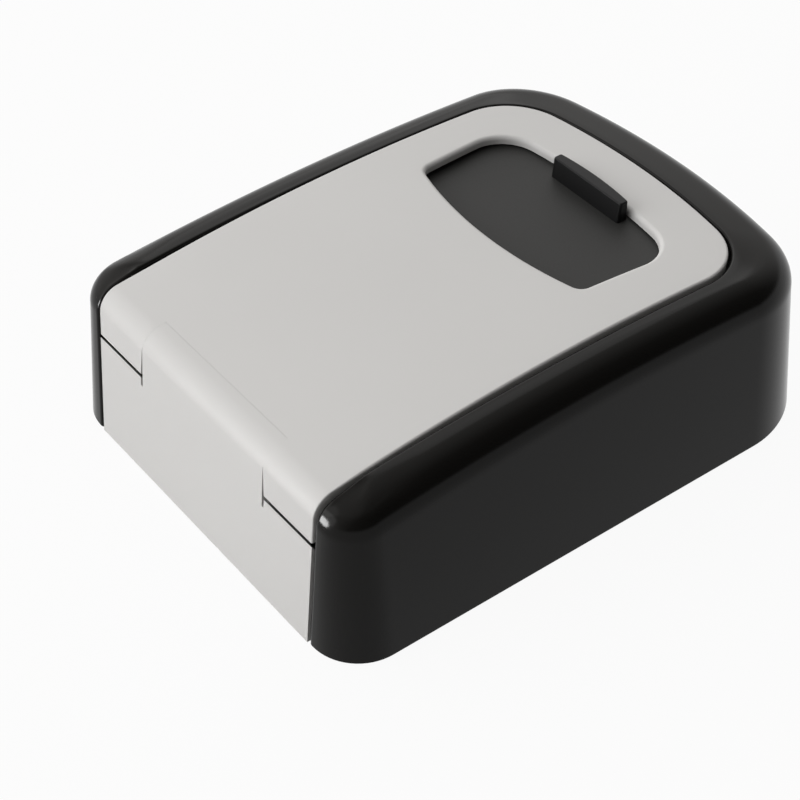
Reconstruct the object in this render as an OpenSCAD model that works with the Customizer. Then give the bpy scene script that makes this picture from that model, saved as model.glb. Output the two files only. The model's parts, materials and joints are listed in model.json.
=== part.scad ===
// Wall-mounted key lock box with a four-dial lock, lying on its back with its door up.
// X runs across the case, +Y towards its top end, +Z out of its front. The hinge is at the -Y end.

/* [Case] */
// Width of the case at the wall
case_w = 90; // [86:1:100]
// Length of the case at the wall
case_l = 118; // [112:1:130]
// Height of the rim at the top of its crown
case_d = 36; // [35:0.5:42]
// Lean of the outer walls, in degrees
draft_angle = 5; // [3:0.5:6]
// Plan radius of the two top corners
case_top_r = 21; // [18:1:25]
// Plan radius of the two corners at the hinge end
case_bottom_r = 10; // [9:0.5:11]
// Plan radius of the arched top end
case_arch_r = 142; // [120:1:200]
// Rounding between the walls and the front
edge_r = 6.4; // [5:0.2:6.8]
// Radius of the lengthwise crown of the front
crown_r = 520; // [440:5:620]
// Distance of the crown's highest line from the middle of the case
crown_y = 7; // [4:1:12]
// Thickness of the back wall
back_wall = 3; // [2.5:0.1:4]
// Thickness of the walls round the hollow rim
case_wall = 2.8; // [2.2:0.1:3.2]
// Thickness of the ribs in the hollow rim
rib_t = 2; // [1.5:0.1:3]

/* [Wall screws] */
// Spacing of the wall screws across the case
wall_screw_x = 36; // [30:1:44]
// Spacing of the wall screws along the case
wall_screw_y = 50; // [40:1:54]
// Radius of the wall screw holes
wall_screw_r = 2.5; // [2:0.1:3]
// Radius of the seats for the screw heads
wall_seat_r = 5; // [4.5:0.1:6]

/* [Door] */
// Width of the door
door_w = 67.2; // [66:0.2:69]
// Rim left above the door, measured at the wall
door_top_rim = 14.5; // [13:0.5:16]
// Plan radius of the door's top corners
door_corner_r = 13; // [11:0.5:14]
// Plan radius of the door's arched top edge
door_arch_r = 129; // [110:1:180]
// Gap between the door and the rim
door_gap = 0.6; // [0.4:0.05:1]
// Thickness of the door's skin
skin_t = 1.7; // [1.5:0.1:2]
// Height of the rim above the door
rim_proud = 0.3; // [0:0.1:0.8]
// Width of the ledge that the door closes on
ledge_w = 2.5; // [2.3:0.1:3]
// Plan radius of the key space's top corners
cavity_corner_r = 7.5; // [5:0.5:9]
// Thickness of the door's inner liner
liner_t = 1.8; // [1.4:0.1:2.2]

/* [Hinge] */
// Radius of the hinge barrel
barrel_r = 4.7; // [4.4:0.1:5.2]
// Width of the case's middle knuckle
knuckle_w = 38; // [30:1:44]
// Radius of the hinge pin
pin_r = 1.5; // [1.2:0.1:2]
// Drop of the door's feet below the pin
foot_drop = 4.9; // [4:0.1:5.4]
// Slit under the door's feet
foot_slit = 0.7; // [0.5:0.05:1]
// Thickness of the hinge block's end wall
hinge_wall = 3.4; // [2.8:0.1:4]
// Reach of the hinge block's tongue over the back wall
tongue_l = 8; // [7:0.5:10]
// Thickness of the tongue
tongue_t = 2; // [1.8:0.1:2.6]
// Spacing of the two screws in the tongue
tongue_screw_x = 32; // [24:1:40]

/* [Window and shutter] */
// Width of the window near its top
window_top_w = 48; // [46:0.2:49]
// Width of the window near its bottom
window_bottom_w = 44.4; // [42:0.2:48]
// Height of the window at its middle
window_h = 27.6; // [27.4:0.1:29]
// Distance from the door's top edge to the window
window_inset = 9.9; // [9.6:0.1:11]
// Radius of the window's top corners
window_top_r = 6; // [4:0.5:8]
// Radius of the window's bottom corners
window_bottom_r = 4; // [3:0.5:6]
// Radius of the window's arched top edge
window_top_arch_r = 120; // [90:1:200]
// Radius of the window's arched bottom edge
window_bottom_arch_r = 83; // [70:1:160]
// Depth of the shutter's face below the front
shutter_recess = 2.7; // [2.7:0.1:3.2]
// Thickness of the shutter
shutter_t = 1.5; // [1.2:0.1:1.8]
// Cover of the shutter past the window's edge
shutter_lap = 1; // [0.8:0.1:1.2]
// Travel of the shutter
shutter_travel = 22.6; // [21:0.1:22.6]
// Width of the shutter's finger tab
tab_w = 18.8; // [14:0.2:22]
// Thickness of the finger tab
tab_t = 2.3; // [1.6:0.1:2.6]
// Height of the finger tab above the shutter
tab_h = 5; // [4.4:0.1:5.6]
// Gap between the tab and the window's top edge
tab_inset = 1.9; // [1.4:0.1:2.2]

/* [Dials] */
// Radius of the ten-sided dials at their corners
dial_r = 7.5; // [7.2:0.1:7.8]
// Width of a dial
dial_w = 5.4; // [5:0.1:5.6]
// Spacing of the dials
dial_pitch = 9.4; // [9.2:0.1:9.8]
// Distance from the window's top edge to the dial shaft
dial_inset = 8.1; // [7.8:0.1:8.4]
// Height of the dials above the liner
dial_proud = 1.3; // [1:0.1:1.5]
// Radius of the dial shaft
shaft_r = 1.5; // [1.2:0.1:1.7]
// Radius of the sleeve hub inside a dial
hub_r = 2.9; // [2.7:0.05:3]
// Reach of the clutch teeth past the hub
tooth_h = 0.6; // [0.4:0.05:0.7]
// Width of a clutch tooth
tooth_w = 0.8; // [0.6:0.05:1]
// Radius of the sleeve's gate flange
gate_r = 4.2; // [4:0.05:4.25]
// Width of the gate flange
gate_w = 1.8; // [1.5:0.1:1.9]
// Overlap of the fence with the gate flange
gate_bite = 0.55; // [0.4:0.05:0.6]
// Sideways travel of the shaft for a change of code
reset_travel = 1.7; // [1.6:0.05:1.75]

/* [Latch] */
// Travel of the latch
latch_travel = 6; // [5.9:0.1:6.5]
// Thickness of the latch plate
plate_t = 1.2; // [1:0.1:1.4]
// Width of a latch bolt
bolt_w = 4.8; // [4:0.1:5.2]
// Spacing of the two bolts
bolt_x = 18.8; // [18.6:0.1:19]
// Thickness of a fence tooth
fence_t = 0.8; // [0.6:0.05:0.9]
// Width of a fence tooth
fence_w = 1.6; // [1.2:0.1:1.8]
// Width of the release button
button_w = 14; // [10:0.5:18]
// Length of the release button
button_l = 4.2; // [4:0.1:4.4]
// Width of the button's stem
stem_w = 3.2; // [2.6:0.1:3.4]

/* [Lock housing] */
// Wall of the lock cover
cover_wall = 1.3; // [1:0.1:1.5]
// Floor of the lock cover
cover_floor = 1.4; // [1.2:0.1:1.8]
// Width of a bearing block
block_w = 6.6; // [6:0.1:6.9]
// Height of a block's guide lug past the latch plate
lug_rise = 2; // [1.6:0.1:3]
// Thickness of the detent spring
leaf_t = 0.3; // [0.2:0.05:0.35]

/* [Clearances] */
// Gap between pieces that slide on each other
slide_gap = 0.1; // [0.08:0.01:0.15]
// Gap between pieces that pass each other
pass_gap = 0.3; // [0.2:0.05:0.4]
// Radial gap of a turning shaft or pin
turn_gap = 0.05; // [0.02:0.01:0.08]

/* [Hidden] */
$fn = 64;

case_black = [0.05, 0.05, 0.055];
door_grey = [0.78, 0.775, 0.76];
charcoal = [0.2, 0.2, 0.2];
moulded_black = [0.08, 0.08, 0.085];
steel = [0.72, 0.73, 0.75];
die_cast = [0.62, 0.63, 0.65];
ivory = [0.9, 0.9, 0.87];

// Reach of a cut past the faces that it opens, and of a joined solid into its neighbour
over = 1;
far = 200;
join = 0.1;

// Plan of the case and the door
top_end = case_l / 2;
door_hw = door_w / 2;
door_top = top_end - door_top_rim;
door_front = case_d - rim_proud;
slope = tan(draft_angle);
opening_hw = door_hw + door_gap;
cavity_hw = door_hw - ledge_w;
cavity_top = door_top - ledge_w;

// Hinge pin, where the barrel runs out into the crown and into the leaning end face
pin_y_flat = -top_end + barrel_r / cos(draft_angle);
pin_z = crown_z(door_front, pin_y_flat + slope * (door_front - 2 * barrel_r)) - barrel_r;
pin_y = pin_y_flat + slope * pin_z;
foot_z = pin_z - foot_drop;
foot_reach = norm([pin_y - end_face_y(foot_z), foot_drop]);
sweep_r = foot_reach + pass_gap;
slot_y = pin_y + sweep_r;
knuckle_hw = knuckle_w / 2;
foot_in = knuckle_hw + pass_gap;
hinge_land = 3;
hollow_y = pin_y + barrel_r + hinge_land;

// Levels of the lock, counted down from the front
shutter_top = door_front - shutter_recess;
shutter_bottom = shutter_top - shutter_t;
shaft_z = shutter_bottom - 2 * slide_gap - dial_r;
liner_top = shaft_z + dial_r - dial_proud;
liner_bottom = liner_top - liner_t;
ledge_z = liner_bottom - pass_gap;
skirt_z = ledge_z + 2 * slide_gap;
floor_in = shaft_z - dial_r - pass_gap;
floor_out = floor_in - cover_floor;
plate_top = floor_out - slide_gap;
plate_bottom = plate_top - plate_t;
lug_bottom = plate_bottom - lug_rise;

// Window, shutter and dials along the door
window_top = door_top - window_inset;
window_bottom = window_top - window_h;
tab_back = window_top - tab_inset;
shaft_y = window_top - dial_inset;
dial_flat = dial_r * cos(18);
dial_xs = [for (i = [0 : 3]) (i - 1.5) * dial_pitch];
shutter_hw = window_top_w / 2 + shutter_lap;
rail_t = 1;

// Gate sleeves and fence
gate_gap = 0.2;
gate_dx = dial_w / 2 + gate_gap + gate_w / 2;
fence_drop = gate_r - gate_bite;
gate_flat = fence_drop - gate_gap;
bore_r = hub_r + 2 * slide_gap;
hub_short = 1.2;
hub_l = dial_w - hub_short;
tooth_l = reset_travel - gate_gap;

// Latch: the plate rests drawn back, and travels towards the top end to lock
fence_y = shaft_y - latch_travel / 2;
bolt_clear = 2.1;
bolt_tip = cavity_top - bolt_clear;
stem_l = 3.6;
stem_clear = 2.7;
stem_y = shaft_y - gate_r - latch_travel - stem_l / 2 - stem_clear;
stem_path = [stem_y - stem_l / 2 - pass_gap, stem_y + stem_l / 2 + latch_travel + pass_gap];
bar_w = 4.8;

// Lock cover and bearing blocks
clip_t = 0.4;
clip_room = 0.5;
cover_in = dial_xs[3] + gate_dx + gate_w / 2 + reset_travel + clip_t + clip_room;
cover_hw = cover_in + cover_wall;
cover_y0 = stem_path[0] - cover_wall;
leaf_clear = 0.4;
leaf_seat = 1.3;
cover_y1 = shaft_y + dial_r + leaf_clear + leaf_seat + cover_wall;
block_in = cover_hw + pass_gap;
block_out = block_in + block_w;
block_below = 6;
block_above = 8;
block_drop = 6.8;
block_y0 = shaft_y - block_below;
block_y1 = shaft_y + block_above;
block_bottom = shaft_z - block_drop;
lug_low = 1.3;
lug_w = 3.5;
lug_y0 = stem_y - lug_low;
lug_out = block_in + lug_w;
plate_ear = 1.5;
ear_out = block_in + plate_ear;
leaf_gap = 0.07;
leaf_top = shaft_z - dial_flat - leaf_gap;

// Small screws
screw_r = 1.1;
screw_head_r = 1.9;
screw_head_h = 1.2;
cross_l = 2.2;
cross_w = 0.5;
ear_t = 1.4;
ear_off = screw_head_r + 2 * slide_gap;
sink = 1;
boss_grip = 2.2;
head_sink = 2.6;
latch_grip = 4;
tongue_screw_r = 1.5;
tongue_head_r = 2.8;
tongue_head_h = 1.2;
tongue_sink = tongue_head_h + slide_gap;
tongue_screw_y = slot_y + tongue_l / 2;
liner_top_x = 24.8;
liner_top_inset = 6.8;
liner_low_x = 26;
liner_low_rise = 18;
liner_top_screw = [liner_top_x, door_top - liner_top_inset];
liner_low_screw = [liner_low_x, pin_y + liner_low_rise];
liner_screws_at = [
    for (side = [1, -1], p = [liner_top_screw, liner_low_screw]) [side * p[0], p[1]]
];
cover_low_x = 12;
cover_top_x = 6;
cover_low_ear = [cover_low_x, cover_y0 - ear_off];
cover_top_ear = [cover_top_x, cover_y1 + ear_off];
cover_ears_at = [
    for (side = [1, -1], p = [cover_low_ear, cover_top_ear]) [side * p[0], p[1]]
];
block_screw_inset = 3.2;
block_screw_at = [block_in + block_w / 2, block_y1 - block_screw_inset];

// Height of a lengthwise crown at y
function crown_z(peak, y) = peak - crown_r + sqrt(crown_r * crown_r - pow(y - crown_y, 2));
// Place of the leaning hinge-end face at height z
function end_face_y(z) = -top_end + slope * z;

// Arc points, each with its outward normal
function arc(cx, cy, r, a0, a1, n) = [
    for (i = [0 : n])
        let (a = a0 + (a1 - a0) * i / n)
        [cx + r * cos(a), cy + r * sin(a), cos(a), sin(a)]
];
function tail(list) = [for (i = [1 : len(list) - 1]) list[i]];
// A right half mirrored to the left, for an outline that runs up the right side and down the left
function both_sides(half) = concat(half, [
    for (i = [len(half) - 2 : -1 : 0])
        [-half[i][0], half[i][1], -half[i][2], half[i][3]]
]);
// Right half of a plan with straight sides, round corners and an arched top
function arched_half(hw, y0, y1, bottom_r, top_r, arch_r, side_steps) =
    let (
        cx = hw - top_r,
        cy = y1 - arch_r + sqrt(pow(arch_r - top_r, 2) - cx * cx),
        lean = atan2(cx, cy - y1 + arch_r),
        low = y0 + bottom_r
    )
    concat(
        bottom_r > 0 ? arc(hw - bottom_r, low, bottom_r, -90, 0, 8) : [[hw, y0, 1, 0]],
        [for (i = [1 : side_steps - 1]) [hw, low + (cy - low) * i / side_steps, 1, 0]],
        arc(cx, cy, top_r, 0, 90 - lean, 12),
        tail(arc(0, y1 - arch_r, arch_r, 90 - lean, 90, 8))
    );
// Outline points moved in by d
function inset(outline, d) = [for (p = outline) [p[0] - d * p[2], p[1] - d * p[3]]];

case_outline = both_sides(
    arched_half(case_w / 2, -top_end, top_end, case_bottom_r, case_top_r, case_arch_r, 14)
);
door_outline = both_sides(arched_half(door_hw, pin_y, door_top, 0, door_corner_r, door_arch_r, 1));

// Right half of the window: two corner circles joined by a tangent side
function window_half() =
    let (
        top_c = [window_top_w / 2 - window_top_r, window_top - window_top_arch_r
            + sqrt(pow(window_top_arch_r - window_top_r, 2) - pow(window_top_w / 2 - window_top_r, 2))],
        low_c = [window_bottom_w / 2 - window_bottom_r, window_bottom + window_bottom_arch_r
            - sqrt(pow(window_bottom_arch_r - window_bottom_r, 2)
                - pow(window_bottom_w / 2 - window_bottom_r, 2))],
        run = top_c - low_c,
        side = atan2(run[1], run[0]) - acos((window_bottom_r - window_top_r) / norm(run)),
        top_lean = atan2(top_c[0], top_c[1] - window_top + window_top_arch_r),
        low_lean = atan2(low_c[0], window_bottom + window_bottom_arch_r - low_c[1])
    )
    concat(
        arc(0, window_bottom + window_bottom_arch_r, window_bottom_arch_r, -90, -90 + low_lean, 6),
        tail(arc(low_c[0], low_c[1], window_bottom_r, -90 + low_lean, side, 6)),
        arc(top_c[0], top_c[1], window_top_r, side, 90 - top_lean, 8),
        tail(arc(0, window_top - window_top_arch_r, window_top_arch_r, 90 - top_lean, 90, 6))
    );
window_right = window_half();
window_outline = concat(window_right, [
    for (i = [len(window_right) - 2 : -1 : 1])
        [-window_right[i][0], window_right[i][1], -window_right[i][2], window_right[i][3]]
]);

module block(x0, x1, y0, y1, z0, z1) {
    translate([x0, y0, z0]) cube([x1 - x0, y1 - y0, z1 - z0]);
}
module along_x(x0, x1, y, z) {
    translate([x0, y, z]) rotate([90, 0, 90]) linear_extrude(x1 - x0) children();
}
module rod_x(x0, x1, y, z, r) {
    translate([x0, y, z]) rotate([0, 90, 0]) cylinder(h = x1 - x0, r = r);
}
module plan(points, z0, z1) {
    translate([0, 0, z0]) linear_extrude(z1 - z0) polygon(points);
}
module under_crown(peak) {
    rod_x(-far / 2, far / 2, crown_y, peak - crown_r, crown_r, $fn = 720);
}
module left_and_right() {
    children();
    mirror([1, 0, 0]) children();
}
// Pan-head screw pointing up, with its head's underside at z
module pan_screw(x, y, z, length, head_h = screw_head_h) {
    difference() {
        union() {
            translate([x, y, z - head_h]) cylinder(h = head_h, r = screw_head_r);
            translate([x, y, z - head_h / 2]) cylinder(h = length + head_h / 2, r = screw_r);
        }
        for (turn = [0, 90])
            translate([x, y, z - head_h]) rotate([0, 0, turn])
                cube([cross_l, cross_w, head_h], center = true);
    }
}
module screw_hole(x, y, z0, z1) {
    translate([x, y, z0]) cylinder(h = z1 - z0, r = screw_r + turn_gap);
}

// Case: outer skin as rings of the plan, each leaned and rounded in towards the front
round_steps = 6;
function skin_ring(k) = [
    for (p = case_outline)
        let (
            front = crown_z(case_d, p[1]),
            turn = k < 2 ? 0 : 90 * (k - 1) / round_steps,
            shoulder = front - edge_r,
            z = k == 0 ? -over : shoulder + edge_r * sin(turn),
            d = k == 0 ? -slope * over : slope * shoulder + edge_r * (1 - cos(turn))
        )
        [p[0] - d * p[2], p[1] - d * p[3], z]
];
module case_skin() {
    n = len(case_outline);
    rings = round_steps + 2;
    half = (n + 1) / 2;
    top = (rings - 1) * n;
    walls = [
        for (k = [0 : rings - 2], i = [0 : n - 1])
            let (a = k * n + i, b = k * n + (i + 1) % n)
            each [[a, a + n, b + n], [a, b + n, b]]
    ];
    caps = [
        for (i = [0 : half - 3])
            let (a = i, b = i + 1, c = n - 2 - i, d = n - 1 - i)
            each [
                [a, b, c], [a, c, d],
                [top + a, top + c, top + b], [top + a, top + d, top + c]
            ]
    ];
    tips = [[half - 2, half - 1, half], [top + half - 2, top + half, top + half - 1]];
    polyhedron(
        points = [for (k = [0 : rings - 1]) each skin_ring(k)],
        faces = concat(walls, caps, tips)
    );
}
pocket_top = case_d - 2 * edge_r;
rib_ys = [-30, -5, 20];
rib_x = 14;
module rim_pocket() {
    difference() {
        plan(inset(case_outline, case_wall + slope * pocket_top), -over, pocket_top);
        plan(
            concat(
                [[opening_hw + case_wall, -far]],
                inset(door_outline, -door_gap - case_wall),
                [[-opening_hw - case_wall, -far]]
            ),
            -2 * over, pocket_top + over
        );
        for (y = rib_ys) block(-far, far, y - rib_t / 2, y + rib_t / 2, -2 * over, far);
        left_and_right() block(rib_x, rib_x + rib_t, 0, far, -2 * over, far);
    }
}
module case_shell() {
    color(case_black)
    difference() {
        case_skin();
        block(-far, far, -far, far, -far, 0);
        plan(inset(door_outline, -door_gap), ledge_z, far);
        plan(inset(cavity_outline(), 0), back_wall, far);
        block(-opening_hw, opening_hw, -far, slot_y, -over, far);
        rim_pocket();
        left_and_right()
            block(
                bolt_x / 2 - bolt_w / 2 - 2 * pass_gap, bolt_x / 2 + bolt_w / 2 + 2 * pass_gap,
                cavity_top - 2 * over, bolt_tip + latch_travel + pass_gap,
                plate_bottom - pass_gap, plate_top + pass_gap
            );
        for (x = [-1, 1], y = [-1, 1])
            translate([x * wall_screw_x / 2, y * wall_screw_y / 2, 0]) {
                translate([0, 0, -over]) cylinder(h = back_wall + 2 * over, r = wall_screw_r);
                translate([0, 0, back_wall / 2]) cylinder(h = back_wall, r = wall_seat_r);
            }
        left_and_right()
            translate([tongue_screw_x / 2, tongue_screw_y, -over])
                cylinder(h = back_wall + 2 * over, r = tongue_screw_r + turn_gap);
    }
}
function cavity_outline() = both_sides(
    arched_half(
        cavity_hw, slot_y - over, cavity_top, 0,
        cavity_corner_r, door_arch_r - ledge_w, 1
    )
);

// Hinge end of the case: floor, leaning end wall, middle knuckle and a tongue over the back wall
module hinge_block() {
    hw = opening_hw - slide_gap;
    wall_top = foot_z - foot_slit;
    wall_in = end_face_y(0) + hinge_wall;
    web_drop = 6;
    web_lap = 1;
    tongue_hw = tongue_screw_x / 2 + 6;
    tongue_lap = 4;
    color(door_grey)
    difference() {
        union() {
            along_x(-hw, hw, 0, 0) difference() {
                polygon([
                    [end_face_y(0), 0], [slot_y - slide_gap, 0], [slot_y - slide_gap, back_wall],
                    [wall_in, back_wall], [wall_in, wall_top], [end_face_y(wall_top), wall_top]
                ]);
                translate([pin_y, pin_z]) circle(r = sweep_r);
            }
            along_x(-knuckle_hw, knuckle_hw, 0, 0) union() {
                translate([pin_y, pin_z]) circle(r = barrel_r);
                polygon([
                    [end_face_y(back_wall), back_wall], [wall_in, back_wall],
                    [wall_in, pin_z - barrel_r - web_drop], [pin_y, pin_z - barrel_r + web_lap],
                    [pin_y, pin_z], [end_face_y(pin_z), pin_z]
                ]);
            }
            block(
                -tongue_hw, tongue_hw, slot_y - tongue_lap, slot_y + tongue_l,
                back_wall, back_wall + tongue_t
            );
        }
        rod_x(-far, far, pin_y, pin_z, pin_r);
        left_and_right()
            translate([tongue_screw_x / 2, tongue_screw_y, back_wall - over]) {
                cylinder(h = tongue_t + 2 * over, r = tongue_screw_r + turn_gap);
                translate([0, 0, over + tongue_t - tongue_sink])
                    cylinder(h = far, r = tongue_head_r + turn_gap);
            }
    }
}
module hinge_pin() {
    half = door_hw - 0.5;
    color(steel) rod_x(-half, half, pin_y, pin_z, pin_r - turn_gap / 2);
}
module hinge_screws() {
    head_z = back_wall + tongue_t - tongue_sink;
    tip_z = 0.4;
    cross = [3.2, 0.7, 1.4];
    color(steel) left_and_right()
        translate([tongue_screw_x / 2, tongue_screw_y, 0]) difference() {
            union() {
                translate([0, 0, head_z]) cylinder(h = tongue_head_h, r = tongue_head_r);
                translate([0, 0, tip_z]) cylinder(h = head_z, r = tongue_screw_r);
            }
            for (turn = [0, 90])
                translate([0, 0, head_z + tongue_head_h]) rotate([0, 0, turn]) cube(cross, center = true);
        }
}

// Door skin: crowned shell with two hinge feet, a collar round the window and screw bosses
collar_t = 1.2;
module door_skin() {
    boss_r = 2;
    foot_lap = 1;
    color(door_grey)
    difference() {
        union() {
            intersection() {
                difference() {
                    plan(inset(door_outline, 0), skirt_z, far);
                    intersection() {
                        plan(inset(door_outline, skin_t), skirt_z - over, far);
                        block(-far, far, hollow_y, far, -far, far);
                        under_crown(door_front - skin_t);
                    }
                }
                under_crown(door_front);
            }
            intersection() {
                plan(inset(window_outline, -collar_t), shutter_top + 2 * slide_gap, far);
                under_crown(door_front - skin_t / 2);
            }
            intersection() {
                for (p = liner_screws_at)
                    translate([p[0], p[1], liner_top]) cylinder(h = far, r = boss_r);
                under_crown(door_front - skin_t / 2);
            }
            left_and_right()
                along_x(foot_in, door_hw, 0, 0) union() {
                    translate([pin_y, pin_z]) circle(r = barrel_r);
                    polygon([
                        [end_face_y(foot_z), foot_z], [pin_y - foot_lap, foot_z],
                        [pin_y, pin_z], [end_face_y(pin_z), pin_z]
                    ]);
                }
        }
        plan(inset(window_outline, 0), shutter_bottom, far);
        rod_x(-foot_in, foot_in, pin_y, pin_z, barrel_r + pass_gap);
        rod_x(-far, far, pin_y, pin_z, pin_r + turn_gap);
        for (p = liner_screws_at)
            screw_hole(p[0], p[1], liner_top - over, liner_top + boss_grip + pass_gap);
    }
}

// Door liner: the panel behind the skin, with slots for the dials and the release, and shutter rails
module door_liner() {
    gap = skin_t + pass_gap;
    y0 = hollow_y + pass_gap;
    rail_lip = 0.6;
    slot_half = sqrt(dial_r * dial_r - pow(liner_bottom - shaft_z, 2)) + pass_gap;
    rail_low = window_bottom - shutter_lap - shutter_travel - 2 * over;
    rail_high = window_top + shutter_lap;
    color(moulded_black)
    difference() {
        union() {
            intersection() {
                plan(inset(door_outline, gap), liner_bottom, liner_top);
                block(-far, far, y0, far, -far, far);
            }
            left_and_right() {
                block(shutter_hw + pass_gap, shutter_hw + pass_gap + rail_t, rail_low, rail_high,
                    liner_bottom, shutter_top - slide_gap);
                block(window_top_w / 2 - rail_lip, shutter_hw + pass_gap + rail_t, rail_low, rail_high,
                    liner_bottom, shutter_bottom - slide_gap);
            }
        }
        for (x = dial_xs)
            block(x - dial_w / 2 - pass_gap, x + dial_w / 2 + pass_gap,
                shaft_y - slot_half, shaft_y + slot_half, -far, far);
        block(-stem_w / 2 - pass_gap, stem_w / 2 + pass_gap, stem_path[0], stem_path[1], -far, far);
        for (p = liner_screws_at) {
            screw_hole(p[0], p[1], liner_bottom - over, liner_top + over);
            translate([p[0], p[1], liner_bottom - over])
                cylinder(h = over + sink, r = screw_head_r + slide_gap);
        }
        for (p = cover_ears_at) screw_hole(p[0], p[1], liner_bottom - over, liner_top + over);
        left_and_right()
            screw_hole(block_screw_at[0], block_screw_at[1], liner_bottom - over, liner_top + over);
    }
}

// Lock cover: an open box over the dials, slotted for the fence, the stem and the reset slider
module lock_cover() {
    ear_r = screw_head_r + pass_gap;
    pad_y = shaft_y + dial_r + leaf_clear / 2;
    color(moulded_black)
    difference() {
        union() {
            block(-cover_hw, cover_hw, cover_y0, cover_y1, floor_out, liner_bottom);
            for (p = cover_ears_at)
                translate([p[0], p[1], liner_bottom - ear_t]) {
                    cylinder(h = ear_t, r = ear_r);
                    wall_y = p[1] < shaft_y ? cover_y0 : cover_y1;
                    block(-ear_r, ear_r, min(0, wall_y - p[1]), max(0, wall_y - p[1]), 0, ear_t);
                }
        }
        difference() {
            block(-cover_in, cover_in, cover_y0 + cover_wall, cover_y1 - cover_wall, floor_in, far);
            block(-far, far, pad_y, far, -far, leaf_top - leaf_t);
        }
        for (x = dial_xs)
            block(x + gate_dx - fence_w / 2 - pass_gap, x + gate_dx + fence_w / 2 + pass_gap,
                fence_y - fence_t / 2 - pass_gap, fence_y + fence_t / 2 + latch_travel + pass_gap,
                0, floor_in + over);
        block(-stem_w / 2 - pass_gap, stem_w / 2 + pass_gap, stem_path[0], stem_path[1], 0, floor_in + over);
        block(reset_x - reset_w / 2 - pass_gap, reset_x + reset_w / 2 + reset_travel + pass_gap,
            shaft_y - reset_l / 2 - pass_gap, shaft_y + reset_l / 2 + pass_gap, 0, floor_in + over);
        rod_x(-far, far, shaft_y, shaft_z, shaft_r + pass_gap);
        for (p = cover_ears_at)
            screw_hole(p[0], p[1], liner_bottom - ear_t - over, liner_bottom + over);
    }
}

// Bearing block: carries the shaft, and its lug guides the latch plate
module bearing_block() {
    lug_lap = 3;
    difference() {
        union() {
            block(block_in, block_out, block_y0, block_y1, block_bottom, liner_bottom);
            block(block_in, lug_out, lug_y0, block_y0 + lug_lap, lug_bottom, liner_bottom);
        }
        block(block_in - over, ear_out + pass_gap, -far, far,
            plate_bottom - slide_gap, plate_top + slide_gap);
        rod_x(block_in - over, block_out + over, shaft_y, shaft_z, shaft_r + turn_gap);
        screw_hole(block_screw_at[0], block_screw_at[1], block_bottom - over, liner_bottom + over);
        translate([block_screw_at[0], block_screw_at[1], block_bottom - over])
            cylinder(h = over + head_sink, r = screw_head_r + pass_gap);
    }
}
module bearing_block_right() {
    color(die_cast) bearing_block();
}
module bearing_block_left() {
    color(die_cast) mirror([1, 0, 0]) bearing_block();
}
module block_screws() {
    head_z = block_bottom + head_sink;
    color(steel) left_and_right()
        pan_screw(block_screw_at[0], block_screw_at[1], head_z, liner_top - head_z);
}
module liner_screws() {
    color(steel) for (p = liner_screws_at)
        pan_screw(p[0], p[1], liner_bottom + sink, liner_t - sink + boss_grip, sink - slide_gap);
}
module cover_screws() {
    color(steel) for (p = cover_ears_at)
        pan_screw(p[0], p[1], liner_bottom - ear_t, ear_t + liner_t);
}

// Detent comb: one leaf under each dial, on the cover's pad
module detent_spring() {
    root_y = shaft_y + dial_r + leaf_clear;
    finger_w = 3;
    finger_reach = 2;
    color(steel) {
        block(dial_xs[0] - finger_w, dial_xs[3] + finger_w, root_y, cover_y1 - cover_wall - slide_gap,
            leaf_top - leaf_t, leaf_top);
        for (x = dial_xs)
            block(x - finger_w / 2, x + finger_w / 2, shaft_y - finger_reach, root_y + join,
                leaf_top - leaf_t, leaf_top);
    }
}

// Shutter: flat slide behind the window, with a finger tab at its top edge
module shutter() {
    edge = 0.5;
    top = tab_h + join;
    color(charcoal) {
        block(-shutter_hw, shutter_hw, window_bottom - shutter_lap, window_top + shutter_lap,
            shutter_bottom, shutter_top);
        along_x(-tab_w / 2, tab_w / 2, tab_back - tab_t, shutter_top - join)
            polygon([
                [0, 0], [tab_t, 0], [tab_t, top - edge], [tab_t - edge, top],
                [edge, top], [0, top - edge]
            ]);
    }
}

// Release button: ribbed thumb piece and the stem that draws the latch plate
module release_button() {
    top = liner_top + slide_gap;
    rib_h = shaft_z + dial_r - top;
    rib_rise = 0.4;
    rib_end = 0.8;
    rib_w = 0.7;
    rib_pitch = button_l / 3;
    color(moulded_black)
    difference() {
        union() {
            block(-button_w / 2, button_w / 2, stem_y - button_l / 2, stem_y + button_l / 2,
                top, top + rib_h - rib_rise);
            for (y = [stem_y - rib_pitch, stem_y, stem_y + rib_pitch])
                block(-button_w / 2 + rib_end, button_w / 2 - rib_end, y - rib_w / 2, y + rib_w / 2,
                    top, top + rib_h);
            block(-stem_w / 2, stem_w / 2, stem_y - stem_l / 2, stem_y + stem_l / 2, plate_top, top + join);
        }
        screw_hole(0, stem_y, plate_top - over, plate_top + latch_grip + pass_gap);
    }
}
module latch_screw() {
    color(steel) pan_screw(0, stem_y, plate_bottom, plate_t + latch_grip);
}

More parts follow.
